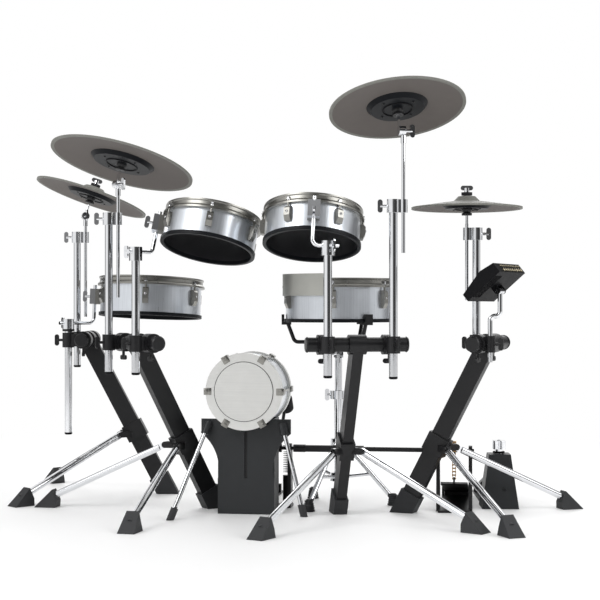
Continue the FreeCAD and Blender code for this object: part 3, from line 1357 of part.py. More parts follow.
def build_module():
    """Drum module on a Z-bent rod, with a tilting case and a rotary knob."""
    build_pole_clamp("right", -clamp_side, module_clamp_offset, module_rod_radius)
    point = clamp_point("right", -clamp_side, module_clamp_offset)
    foot = point - z_axis * module_rod_below
    step_low = point + z_axis * module_rod_step_rise
    step_high = step_low + x_axis * module_rod_step
    pivot = point + x_axis * module_rod_step + z_axis * module_rod_rise
    bar = bent_rod([foot, step_low, step_high, pivot], module_rod_radius, module_rod_bend)
    across = Rotation(z_axis, module_facing).multVec(x_axis)
    to_player = Rotation(z_axis, module_facing).multVec(y_axis)
    slope = math.radians(module_slope)
    normal = to_player * math.sin(slope) + z_axis * math.cos(slope)
    bar = bar.fuse(rod(pivot - across * barrel_length / 2, pivot + across * barrel_length / 2, barrel_radius))
    pin_reach = barrel_length / 2 + module_ear + part_gap
    bar = bar.fuse(rod(pivot - across * pin_reach, pivot + across * pin_reach, barrel_pin_radius))
    add("support_arms", bar.removeSplitter())
    frame = frame_along(pivot + normal * barrel_drop, normal, across)
    half = module_depth / 2
    crest = module_depth * module_crest_share - half
    case = side_plate([(-half, 0), (half, 0), (half, module_front), (crest, module_crest), (-half, module_rear)],
                      -module_width / 2, module_width / 2)
    for side in (-1, 1):
        low_x, high_x = sorted((side * (barrel_length / 2 + part_gap), side * pin_reach))
        ear = block(Vector(low_x, -barrel_radius, -barrel_drop), Vector(high_x, barrel_radius, part_gap))
        ear = ear.fuse(rod(Vector(low_x, 0, -barrel_drop), Vector(high_x, 0, -barrel_drop), barrel_radius))
        case = case.fuse(ear)
    case = case.cut(rod(Vector(-module_width, 0, -barrel_drop), Vector(module_width, 0, -barrel_drop),
                        barrel_pin_radius + run_gap))
    knob_x = module_knob_x_share * module_width
    fall = (module_crest - module_front) / (half - crest)
    top = module_front + fall * (half + module_knob_radius) + part_gap
    floor = top - module_knob_depth - module_knob_radius * fall
    case = case.cut(rod(Vector(knob_x, 0, floor - part_gap), Vector(knob_x, 0, 2 * top),
                        module_knob_shaft + run_gap))
    add("module_case", placed(case.removeSplitter(), frame))
    knob = turned([(0, floor), (module_knob_shaft, floor), (module_knob_shaft, top), (module_knob_radius, top),
                   (module_knob_radius, top + module_knob_height), (0, top + module_knob_height)])
    add("module_knob", placed(knob.translated(Vector(knob_x, 0, 0)), frame))
    joint_note("module_case", "hinge", pivot, across)
    joint_note("module_knob", "hinge", frame.multVec(Vector(knob_x, 0, top)), normal)


def build_stands():
    """Four stands with the poles, cymbals, toms and module that they carry."""
    for stand in stands:
        place = stand_frame(stand)
        build_post(place)
        build_cross_tube(place)
        build_legs(stand, place)
    head = build_pole("centre", clamp_side, clamp_offset, crash_1_pole_rise, cymbal_pole_drop)
    build_cymbal_stand("crash_1", head, crash_1_rise, crash_1_rod_tail, crash_1_roll, crash_1_tilt, crash_radius)
    head = build_pole("left", -clamp_side, clamp_offset, ride_pole_rise, cymbal_pole_drop)
    build_cymbal_stand("ride", head, ride_rise, ride_rod_tail, ride_roll, ride_tilt, ride_radius)
    head = build_pole("far", -clamp_side, clamp_offset, crash_2_pole_rise, cymbal_pole_drop)
    build_cymbal_stand("crash_2", head, crash_2_rise, crash_2_rod_tail, crash_2_roll, crash_2_tilt, crash_radius)
    head = build_pole("right", hihat_clamp_side, hihat_clamp_offset, hihat_pole_rise, hihat_pole_drop)
    build_hihat_stand(head)
    head = build_pole("left", clamp_side, clamp_offset, tom_1_pole_rise, tom_pole_drop)
    reach = Vector(tom_1_reach_x, tom_1_reach_y, tom_1_rise - arm_clamp_rise)
    build_tom("tom_1", head, reach, tom_1_roll, tom_1_tilt, tom_radius, tom_depth, 180)
    head = build_pole("centre", -clamp_side, clamp_offset, tom_2_pole_rise, tom_pole_drop)
    reach = Vector(tom_2_reach_x, tom_2_reach_y, tom_2_rise - arm_clamp_rise)
    build_tom("tom_2", head, reach, tom_2_roll, tom_2_tilt, tom_radius, tom_depth, -90)
    head = build_pole("far", clamp_side, clamp_offset, floor_pole_rise, floor_pole_drop)
    reach = Vector(floor_reach_x, floor_reach_y, floor_rise - arm_clamp_rise)
    build_tom("floor_tom", head, reach, floor_roll, floor_tilt, floor_radius, floor_depth, 180)
    build_module()


def write_parts():
    """Write each node's solids to its own file."""
    os.makedirs("parts", exist_ok=True)
    for node, shapes in nodes.items():
        solids = [solid for shape in shapes for solid in shape.Solids]
        Part.makeCompound(solids).exportStep(f"parts/{node}.step")


build_stands()
build_snare()
build_snare_stand()
build_kick()
build_tower()
build_double_pedal()
build_hihat_pedal()
write_parts()
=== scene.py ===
"""Looks of a compact electronic drum kit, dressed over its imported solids."""

import json
import logging
import math
from dataclasses import dataclass
from enum import Enum
from typing import Dict, List, Optional, Sequence, Tuple, Union

import bmesh
import bpy
from mathutils import Matrix, Vector


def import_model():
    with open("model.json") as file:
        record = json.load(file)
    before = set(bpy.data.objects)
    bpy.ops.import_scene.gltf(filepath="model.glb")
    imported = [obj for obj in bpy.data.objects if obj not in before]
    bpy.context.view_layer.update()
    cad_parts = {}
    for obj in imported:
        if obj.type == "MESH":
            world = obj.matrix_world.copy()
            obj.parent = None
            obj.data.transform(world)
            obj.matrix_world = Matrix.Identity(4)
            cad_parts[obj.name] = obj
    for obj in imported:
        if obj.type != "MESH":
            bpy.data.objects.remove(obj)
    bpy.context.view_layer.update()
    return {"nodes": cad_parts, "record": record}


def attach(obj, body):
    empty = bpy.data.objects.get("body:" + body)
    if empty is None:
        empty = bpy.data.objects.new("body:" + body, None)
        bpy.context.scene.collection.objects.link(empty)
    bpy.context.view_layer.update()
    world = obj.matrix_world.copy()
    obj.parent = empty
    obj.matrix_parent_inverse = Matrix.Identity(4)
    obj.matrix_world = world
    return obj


LOG = logging.getLogger("drum_kit")
MM = 0.001
ORIGIN = (0.0, 0.0, 0.0)
RIGHT = (1.0, 0.0, 0.0)
BACK = (0.0, 1.0, 0.0)
UP = (0.0, 0.0, 1.0)
WHITE = (1.0, 1.0, 1.0, 1.0)

Triple = Tuple[float, float, float]
Pair = Tuple[float, float]
Colour = Tuple[float, float, float, float]
Limits = Tuple[Optional[float], Optional[float]]
Outline = Tuple[Pair, ...]
Value = Union[float, int, bpy.types.Material]
Tree = bpy.types.NodeTree
Node = bpy.types.Node
Socket = bpy.types.NodeSocket
Number = Union[float, Socket]
Labels = Sequence[Tuple[str, str]]


class Tone(Enum):
    """Linear base colours."""

    CHROME = (0.80, 0.81, 0.83)
    BLACK_COAT = (0.009, 0.009, 0.010)
    CHARCOAL = (0.022, 0.024, 0.026)
    RUBBER = (0.022, 0.023, 0.025)
    CYMBAL = (0.132, 0.119, 0.111)
    CYMBAL_RIM = (0.195, 0.195, 0.178)
    PLATE = (0.007, 0.008, 0.010)
    WRAP = (0.64, 0.67, 0.71)
    GUNMETAL = (0.29, 0.285, 0.265)
    COVER = (0.44, 0.44, 0.41)
    # Painted shade and painted light in a drum's shell: the inner wall is black and is kept darkest as painted shade
    # in the cavity. The sensor bridge is painted lighter than that black as painted light, so the arch shows.
    INSIDE = (0.009, 0.009, 0.011)
    BRIDGE_PAINTED_LIGHT = (0.045, 0.047, 0.052)
    MESH = (0.72, 0.72, 0.72)
    KICK_PLATE = (0.70, 0.70, 0.68)
    KICK_RING = (0.74, 0.74, 0.72)
    STRIKE_PAD = (0.020, 0.020, 0.021)
    BRONZE = (0.40, 0.25, 0.11)
    STEEL = (0.55, 0.55, 0.56)
    PLASTIC = (0.008, 0.008, 0.009)
    FELT = (0.020, 0.020, 0.022)
    SCREEN = (0.010, 0.016, 0.022)
    KEY = (0.10, 0.10, 0.105)
    SOCKET = (0.52, 0.46, 0.32)
    PAPER = (0.93, 0.93, 0.93)

    @property
    def opaque(self) -> Colour:
        """The colour with full alpha."""
        return (*self.value, 1.0)


@dataclass(frozen=True)
class Finish:
    """How one surface takes light.

    Args:
        tone: base colour.
        metallic: share of metal.
        roughness: mean roughness.
        grain: cell count of the fine grain across a metre.
        depth: strength of the grain's bump.
        mottle: share by which colour and roughness vary over the surface.
        coat: weight of a clear coat.
        sheen: weight of a soft sheen.
        brushed: strength of a brushed grain along one direction.
        weave: strength of a woven grain.
        gloss: level of its mirror-like share, where 0.5 is that of plain plastic.
    """

    tone: Tone
    metallic: float = 0.0
    roughness: float = 0.5
    grain: float = 1500.0
    depth: float = 0.05
    mottle: float = 0.12
    coat: float = 0.0
    sheen: float = 0.0
    brushed: float = 0.0
    weave: float = 0.0
    gloss: float = 0.5


class Finishes:
    CHROME = Finish(Tone.CHROME, 1.0, 0.06, 500.0, 0.004, 0.03)
    BLACK_COAT = Finish(Tone.BLACK_COAT, 0.0, 0.38, 2600.0, 0.06, 0.15, gloss=0.34)
    CHARCOAL = Finish(Tone.CHARCOAL, 0.0, 0.44, 2200.0, 0.10, 0.15, gloss=0.36)
    RUBBER = Finish(Tone.RUBBER, 0.0, 0.62, 1800.0, 0.12, 0.20, gloss=0.36)
    CYMBAL = Finish(Tone.CYMBAL, 0.0, 0.62, 1700.0, 0.05, 0.10, gloss=0.10)
    CYMBAL_RIM = Finish(Tone.CYMBAL_RIM, 0.0, 0.52, 1700.0, 0.05, 0.10)
    PLATE = Finish(Tone.PLATE, 0.0, 0.42, 2400.0, 0.08, 0.15, gloss=0.15)
    WRAP = Finish(Tone.WRAP, 0.85, 0.30, 900.0, 0.01, 0.05, coat=0.3, brushed=0.35)
    GUNMETAL = Finish(Tone.GUNMETAL, 1.0, 0.28, 1500.0, 0.02, 0.08, gloss=0.15)
    COVER = Finish(Tone.COVER, 1.0, 0.36, 1500.0, 0.02, 0.08)
    # Painted shade in the drum's cavity and painted light on its sensor bridge.
    INSIDE = Finish(Tone.INSIDE, 0.0, 0.44, 1600.0, 0.06, 0.15)
    BRIDGE_PAINTED_LIGHT = Finish(Tone.BRIDGE_PAINTED_LIGHT, 0.0, 0.34, 1600.0, 0.06, 0.15)
    MESH = Finish(Tone.MESH, 0.0, 0.75, 1500.0, 0.05, 0.05, weave=0.5)
    KICK_PLATE = Finish(Tone.KICK_PLATE, 0.45, 0.36, 1500.0, 0.01, 0.05, brushed=0.16)
    KICK_RING = Finish(Tone.KICK_RING, 0.70, 0.32, 1500.0, 0.01, 0.05)
    STRIKE_PAD = Finish(Tone.STRIKE_PAD, 0.0, 0.70, 1500.0, 0.05, 0.10, weave=0.6)
    BRONZE = Finish(Tone.BRONZE, 1.0, 0.34, 1500.0, 0.03, 0.15)
    STEEL = Finish(Tone.STEEL, 1.0, 0.25, 1200.0, 0.01, 0.08)
    PLASTIC = Finish(Tone.PLASTIC, 0.0, 0.48, 2600.0, 0.10, 0.12, gloss=0.06)
    FELT = Finish(Tone.FELT, 0.0, 0.92, 2200.0, 0.35, 0.12, sheen=0.3)
    SCREEN = Finish(Tone.SCREEN, 0.0, 0.10, 500.0, 0.001, 0.02, coat=0.5)
    KEY = Finish(Tone.KEY, 0.0, 0.55, 2200.0, 0.08, 0.10)
    SOCKET = Finish(Tone.SOCKET, 1.0, 0.30, 1200.0, 0.01, 0.08)


def feed(tree: Tree, value: Number, socket: Socket) -> None:
    """Set a socket to a number, or link another socket to it.

    Args:
        tree: node tree that holds the socket.
        value: socket or number.
        socket: the socket to feed.
    """
    if isinstance(value, (int, float)):
        socket.default_value = value
    else:
        tree.links.new(value, socket)


def vector_math(tree: Tree, operation: str, first: Socket, second: Socket) -> Node:
    """Add a vector maths node.

    Args:
        tree: node tree to add to.
        operation: the node's operation.
        first: socket for its first input.
        second: socket for its second input.

    Returns:
        The node.
    """
    node = tree.nodes.new("ShaderNodeVectorMath")
    node.operation = operation
    tree.links.new(first, node.inputs[0])
    tree.links.new(second, node.inputs[1])
    return node


def scaled(tree: Tree, vector: Socket, factor: Socket) -> Socket:
    """Multiply a vector by a number.

    Args:
        tree: node tree to add to.
        vector: the vector's socket.
        factor: the number's socket.

    Returns:
        The socket of the product.
    """
    node = tree.nodes.new("ShaderNodeVectorMath")
    node.operation = "SCALE"
    tree.links.new(vector, node.inputs["Vector"])
    tree.links.new(factor, node.inputs["Scale"])
    return node.outputs["Vector"]


def float_math(tree: Tree, operation: str, first: Number, second: Number) -> Socket:
    """Add a maths node.

    Args:
        tree: node tree to add to.
        operation: the node's operation.
        first: socket or number for its first input.
        second: socket or number for its second input.

    Returns:
        The socket of its result.
    """
    node = tree.nodes.new("ShaderNodeMath")
    node.operation = operation
    feed(tree, first, node.inputs[0])
    feed(tree, second, node.inputs[1])
    return node.outputs[0]


class Mix(Enum):
    """Kinds of mix node, each with its data type and the places of its two inputs and its output."""

    VALUE = ("FLOAT", 2, 3, 0)
    COLOUR = ("RGBA", 6, 7, 2)


def mixed(tree: Tree, kind: Mix, mask: Socket, under: Number, over: Union[float, Colour]) -> Socket:
    """Lay a value or a colour over another by a mask.

    Args:
        tree: node tree to add to.
        kind: what is mixed.
        mask: socket of the mask.
        under: socket or number of what lies below.
        over: what lies above.

    Returns:
        The socket of the mix.
    """
    data, below, above, result = kind.value
    node = tree.nodes.new("ShaderNodeMix")
    node.data_type = data
    tree.links.new(mask, node.inputs[0])
    feed(tree, under, node.inputs[below])
    node.inputs[above].default_value = over
    return node.outputs[result]


def noise(tree: Tree, place: Socket, scale: Number, detail: float, roughness: float = 0.5) -> Socket:
    """Add a noise texture.

    Args:
        tree: node tree to add to.
        place: socket of the coordinates.
        scale: socket or number of its cells across a metre.
        detail: octaves of finer noise.
        roughness: weight of the finer noise.

    Returns:
        The socket of its value.
    """
    node = tree.nodes.new("ShaderNodeTexNoise")
    node.inputs["Detail"].default_value = detail
    node.inputs["Roughness"].default_value = roughness
    tree.links.new(place, node.inputs["Vector"])
    feed(tree, scale, node.inputs["Scale"])
    return node.outputs["Fac"]


def bumped(tree: Tree, height: Socket, strength: Number, distance: float, normal: Optional[Socket] = None) -> Socket:
    """Add a bump node.

    Args:
        tree: node tree to add to.
        height: socket of the height.
        strength: socket or number of the strength.
        distance: the bump's depth, in metres.
        normal: socket of the normal under it, or None.

    Returns:
        The socket of the bumped normal.
    """
    node = tree.nodes.new("ShaderNodeBump")
    node.inputs["Distance"].default_value = distance
    tree.links.new(height, node.inputs["Height"])
    feed(tree, strength, node.inputs["Strength"])
    if normal is not None:
        tree.links.new(normal, node.inputs["Normal"])
    return node.outputs["Normal"]


class ShaderGroups:
    """Shader groups shared by every material: they give out masks, values and normals only."""

    grain_detail = 2.0
    grain_drop = 0.3 * MM
    mottle_scale = 38.0
    mottle_detail = 5.0
    mottle_roughness = 0.62
    streak_scale = 420.0
    streak_detail = 3.0
    streak_stretch = 0.985
    streak_drop = 0.2 * MM
    thread_drop = 0.2 * MM
    thread_shade = 0.3

    def __init__(self) -> None:
        """Build each group once."""
        self.axis = self._axis_frame()
        self.grain = self._grain()
        self.mottle = self._mottle()
        self.brush = self._brush()
        self.weave = self._weave()

    @staticmethod
    def _new(name: str, inputs: Labels, outputs: Labels) -> Tuple[Tree, Node, Node, Socket]:
        """Make an empty group.

        Args:
            name: the group's name.
            inputs: names and kinds of the sockets going in.
            outputs: names and kinds of the sockets coming out.

        Returns:
            The group's tree, its input node, its output node and the piece's own coordinates.
        """
        tree = bpy.data.node_groups.new(name, "ShaderNodeTree")
        for way, sockets in (("INPUT", inputs), ("OUTPUT", outputs)):
            for label, kind in sockets:
                tree.interface.new_socket(label, in_out=way, socket_type=f"NodeSocket{kind}")
        place = tree.nodes.new("ShaderNodeTexCoord").outputs["Object"]
        return tree, tree.nodes.new("NodeGroupInput"), tree.nodes.new("NodeGroupOutput"), place

    def _axis_frame(self) -> Tree:
        """Radius from a line and height along it, which a slope raises with the radius.

        Returns:
            The group's tree.
        """
        tree, start, end, place = self._new(
            "axis_frame", [("Origin", "Vector"), ("Axis", "Vector"), ("Slope", "Float")],
            [("Radius", "Float"), ("Height", "Float")])
        offset = vector_math(tree, "SUBTRACT", place, start.outputs["Origin"]).outputs["Vector"]
        height = vector_math(tree, "DOT_PRODUCT", offset, start.outputs["Axis"]).outputs["Value"]
        along = scaled(tree, start.outputs["Axis"], height)
        radius = vector_math(tree, "DISTANCE", offset, along).outputs["Value"]
        raised = float_math(tree, "MULTIPLY", radius, start.outputs["Slope"])
        tree.links.new(radius, end.inputs["Radius"])
        tree.links.new(float_math(tree, "ADD", height, raised), end.inputs["Height"])
        return tree

    def _grain(self) -> Tree:
        """Fine bump of a moulded, coated or cast surface.

        Returns:
            The group's tree.
        """
        tree, start, end, place = self._new("grain", [("Scale", "Float"), ("Depth", "Float")],
                                            [("Normal", "Vector")])
        height = noise(tree, place, start.outputs["Scale"], self.grain_detail)
        normal = bumped(tree, height, start.outputs["Depth"], self.grain_drop)
        tree.links.new(normal, end.inputs["Normal"])
        return tree

    def _mottle(self) -> Tree:
        """Slow variation of a surface about one.

        Returns:
            The group's tree.
        """
        tree, start, end, place = self._new("mottle", [("Share", "Float")], [("Factor", "Float")])
        patches = noise(tree, place, self.mottle_scale, self.mottle_detail, self.mottle_roughness)
        centred = float_math(tree, "SUBTRACT", patches, 0.5)
        share = float_math(tree, "MULTIPLY", centred, start.outputs["Share"])
        doubled = float_math(tree, "MULTIPLY", share, 2.0)
        tree.links.new(float_math(tree, "ADD", doubled, 1.0), end.inputs["Factor"])
        return tree

    def _brush(self) -> Tree:
        """Streaks of a brushed surface along one direction.

        Returns:
            The group's tree.
        """
        tree, start, end, place = self._new(
            "brush", [("Axis", "Vector"), ("Strength", "Float"), ("Normal", "Vector")],
            [("Factor", "Float"), ("Normal", "Vector")])
        height = vector_math(tree, "DOT_PRODUCT", place, start.outputs["Axis"]).outputs["Value"]
        most = float_math(tree, "MULTIPLY", height, self.streak_stretch)
        along = scaled(tree, start.outputs["Axis"], most)
        across = vector_math(tree, "SUBTRACT", place, along).outputs["Vector"]
        streaks = noise(tree, across, self.streak_scale, self.streak_detail)
        normal = bumped(tree, streaks, start.outputs["Strength"], self.streak_drop, start.outputs["Normal"])
        tree.links.new(normal, end.inputs["Normal"])
        centred = float_math(tree, "SUBTRACT", streaks, 0.5)
        share = float_math(tree, "MULTIPLY", centred, start.outputs["Strength"])
        tree.links.new(float_math(tree, "ADD", share, 1.0), end.inputs["Factor"])
        return tree

    def _weave(self) -> Tree:
        """Crossing threads of a mesh head.

        Returns:
            The group's tree.
        """
        tree, start, end, place = self._new(
            "weave", [("Pitch", "Float"), ("Strength", "Float"), ("Normal", "Vector")],
            [("Factor", "Float"), ("Normal", "Vector")])
        turn = float_math(tree, "DIVIDE", 2 * math.pi, start.outputs["Pitch"])
        parts = tree.nodes.new("ShaderNodeSeparateXYZ")
        tree.links.new(scaled(tree, place, turn), parts.inputs[0])
        waves = [float_math(tree, "SINE", parts.outputs[letter], 0.0) for letter in "XY"]
        threads = float_math(tree, "MULTIPLY", *waves)
        normal = bumped(tree, threads, start.outputs["Strength"], self.thread_drop, start.outputs["Normal"])
        tree.links.new(normal, end.inputs["Normal"])
        share = float_math(tree, "MULTIPLY", threads, start.outputs["Strength"])
        small = float_math(tree, "MULTIPLY", share, self.thread_shade)
        tree.links.new(float_math(tree, "ADD", small, 1.0), end.inputs["Factor"])
        return tree


@dataclass(frozen=True)
class Zone:
    """Part of a node that has another finish, told apart by radius and height about a line.

    Args:
        finish: the zone's finish.
        origin: point on the line, in millimetres.
        axis: the line's direction.
        radius: least and greatest radius, in millimetres; None where it has no such limit.
        height: least and greatest height along the line, in millimetres; None where it has no such limit.
        slope: how far the height counts as raised with each millimetre of radius, as on a cone.
    """

    finish: Finish
    origin: Triple
    axis: Triple
    radius: Limits = (None, None)
    height: Limits = (None, None)
    slope: float = 0.0


class Paint:
    """Makes node-based materials from finishes and zones."""

    weave_pitch = 1.6 * MM
    ring_depth = 0.2 * MM
    ring_strength = 0.12
    coat_roughness = 0.12

    def __init__(self) -> None:
        """Build the shared groups, and start with no materials."""
        self.groups = ShaderGroups()
        self.plain: Dict[Finish, bpy.types.Material] = {}

    def of(self, finish: Finish) -> bpy.types.Material:
        """Give the plain material of a finish, made once.

        Args:
            finish: the finish.

        Returns:
            Its material.
        """
        if finish not in self.plain:
            self.plain[finish] = self.zoned(finish.tone.name.lower(), finish, ())
        return self.plain[finish]

    def zoned(self, name: str, finish: Finish, zones: Sequence[Zone], rings: float = 0.0,
              along: Triple = UP) -> bpy.types.Material:
        """Make a material whose zones have other finishes.

        Args:
            name: the material's name.
            finish: finish outside the zones.
            zones: the zones, later ones over earlier ones.
            rings: pitch of lathe rings about the first zone's line, in millimetres, or 0 for none.
            along: direction of a brushed finish.

        Returns:
            The material.
        """
        material = bpy.data.materials.new(name)
        material.use_nodes = True
        tree = material.node_tree
        shader = tree.nodes["Principled BSDF"]
        for label, value in (("Coat Weight", finish.coat), ("Coat Roughness", self.coat_roughness),
                             ("Sheen Weight", finish.sheen), ("Specular IOR Level", finish.gloss)):
            shader.inputs[label].default_value = value
        lines = [self._place(tree, zone) for zone in zones]
        tint, rough, metal = self._layers(tree, finish, zones, lines)
        factor, normal = self._texture(tree, finish, along)
        if rings:
            normal = self._rings(tree, lines[0], rings, normal)
        tree.links.new(scaled(tree, tint, factor), shader.inputs["Base Color"])
        tree.links.new(float_math(tree, "MULTIPLY", rough, factor), shader.inputs["Roughness"])
        feed(tree, metal, shader.inputs["Metallic"])
        tree.links.new(normal, shader.inputs["Normal"])
        return material

    def _layers(self, tree: Tree, finish: Finish, zones: Sequence[Zone],
                lines: Sequence[Node]) -> Tuple[Socket, Number, Number]:
        """Lay the zones' colour, roughness and metal over those of a finish.

        Args:
            tree: node tree to add to.
            finish: finish outside the zones.
            zones: the zones, later ones over earlier ones.
            lines: for each zone, the group that measures about its line.

        Returns:
            The colour's socket, then the roughness and the metal, each as a socket or a number.
        """
        colour = tree.nodes.new("ShaderNodeRGB").outputs[0]
        colour.default_value = finish.tone.opaque
        tint, rough, metal = colour, finish.roughness, finish.metallic
        for zone, line in zip(zones, lines):
            inside = self._inside(tree, line, zone)
            tint = mixed(tree, Mix.COLOUR, inside, tint, zone.finish.tone.opaque)
            rough = mixed(tree, Mix.VALUE, inside, rough, zone.finish.roughness)
            if zone.finish.metallic != finish.metallic:
                metal = mixed(tree, Mix.VALUE, inside, metal, zone.finish.metallic)
        return tint, rough, metal

    def _texture(self, tree: Tree, finish: Finish, along: Triple) -> Tuple[Socket, Socket]:
        """Place the groups that vary a finish over its surface.

        Args:
            tree: node tree to add to.
            finish: the finish.
            along: direction of a brushed finish.

        Returns:
            The socket of the factor on colour and roughness, and the socket of the normal.
        """
        factor = self._group(tree, self.groups.mottle, Share=finish.mottle).outputs["Factor"]
        normal = self._group(tree, self.groups.grain, Scale=finish.grain, Depth=finish.depth).outputs["Normal"]
        extras = []
        if finish.brushed:
            extras.append(self._group(tree, self.groups.brush, Axis=along, Strength=finish.brushed))
        if finish.weave:
            extras.append(self._group(tree, self.groups.weave, Pitch=self.weave_pitch, Strength=finish.weave))
        for extra in extras:
            tree.links.new(normal, extra.inputs["Normal"])
            normal = extra.outputs["Normal"]
            factor = float_math(tree, "MULTIPLY", factor, extra.outputs["Factor"])
        return factor, normal

    @staticmethod
    def _group(tree: Tree, group: Tree, **values: Union[float, Triple, Vector]) -> Node:
        """Place a shader group and set its inputs.

        Args:
            tree: node tree to add to.
            group: the group's tree.
            values: the inputs' values by name.

        Returns:
            The group's node.
        """
        node = tree.nodes.new("ShaderNodeGroup")
        node.node_tree = group
        for label, value in values.items():
            node.inputs[label].default_value = value
        return node

    def _place(self, tree: Tree, zone: Zone) -> Node:
        """Place the group that measures about a zone's line."""
        return self._group(tree, self.groups.axis, Origin=Vector(zone.origin) * MM,
                           Axis=Vector(zone.axis).normalized(), Slope=zone.slope)

    @staticmethod
    def _inside(tree: Tree, line: Node, zone: Zone) -> Socket:
        """Mask of a zone: one inside, zero outside.

        Args:
            tree: node tree to add to.
            line: the group that measures about the zone's line.
            zone: the zone.

        Returns:
            The mask's socket.
        """
        mask = None
        for output, limits in (("Radius", zone.radius), ("Height", zone.height)):
            for operation, limit in zip(("GREATER_THAN", "LESS_THAN"), limits):
                if limit is None:
                    continue
                test = float_math(tree, operation, line.outputs[output], limit * MM)
                mask = test if mask is None else float_math(tree, "MULTIPLY", mask, test)
        return mask

    def _rings(self, tree: Tree, line: Node, pitch: float, normal: Socket) -> Socket:
        """Lathe rings about a line, as a bump over another normal.

        Args:
            tree: node tree to add to.
            line: the group that measures about the line.
            pitch: distance between rings, in millimetres.
            normal: socket of the normal below.

        Returns:
            The socket of the bumped normal.
        """
        turns = float_math(tree, "MULTIPLY", line.outputs["Radius"], 2 * math.pi / (pitch * MM))
        height = float_math(tree, "SINE", turns, 0.0)
        return bumped(tree, height, self.ring_strength, self.ring_depth, normal)


class Form:
    """Small closed mesh, put together from turned and bevelled parts. Sizes are in millimetres."""

    smooth_angle = math.radians(38)
    bevel_steps = 2
    round_profile = 0.5

    def __init__(self) -> None:
        """Start with an empty shape."""
        self.shape = bmesh.new()

    def turned(self, outline: Sequence[Pair], sides: int, place: Optional[Matrix] = None) -> "Form":
        """Add a part turned about Z.

        Args:
            outline: radius and height of its points; it closes at the axis or on itself.
            sides: facets round the axis.
            place: where it goes, or None for the origin.

        Returns:
            This form.
        """
        rings: List[List[bmesh.types.BMVert]] = []
        for radius, height in outline:
            steps = sides if radius else 1
            turns = [2 * math.pi * (step + 0.5) / sides for step in range(steps)]
            rings.append([self.shape.verts.new((radius * MM * math.cos(turn), radius * MM * math.sin(turn),
                                                height * MM)) for turn in turns])
        bands = list(zip(rings, rings[1:]))
        if outline[0][0]:
            bands.append((rings[-1], rings[0]))
        for low, high in bands:
            for step in range(sides):
                after = (step + 1) % sides
                corners = [low[step % len(low)], low[after % len(low)],
                           high[after % len(high)], high[step % len(high)]]
                self.shape.faces.new(list(dict.fromkeys(corners)))
        self._put([vert for ring in rings for vert in ring], place)
        return self

    def slab(self, size: Triple, edge: float, place: Optional[Matrix] = None) -> "Form":
        """Add a block with rounded edges.

        Args:
            size: its length, width and height.
            edge: radius of its edges.
            place: where its centre goes, or None for the origin.

        Returns:
            This form.
        """
        made = bmesh.ops.create_cube(self.shape, size=1.0)["verts"]
        bmesh.ops.scale(self.shape, vec=Vector(size) * MM, verts=made)
        edges = list({edge_of for vert in made for edge_of in vert.link_edges})
        rounded = bmesh.ops.bevel(self.shape, geom=edges, offset=edge * MM, segments=self.bevel_steps,
                                  profile=self.round_profile, affect="EDGES")
        self._put(list({vert for face in rounded["faces"] for vert in face.verts}), place)
        return self

    def _put(self, verts: List[bmesh.types.BMVert], place: Optional[Matrix]) -> None:
        """Move new points to their place."""
        if place is not None:
            bmesh.ops.transform(self.shape, matrix=place, verts=verts)

    def mesh(self, name: str) -> bpy.types.Mesh:
        """Turn the form into a mesh with outward faces and smooth rounds.

        Args:
            name: the mesh's name.

        Returns:
            The mesh.
        """
        bmesh.ops.recalc_face_normals(self.shape, faces=self.shape.faces)
        mesh = bpy.data.meshes.new(name)
        self.shape.to_mesh(mesh)
        self.shape.free()
        mesh.shade_smooth()
        mesh.set_sharp_from_angle(angle=self.smooth_angle)
        return mesh


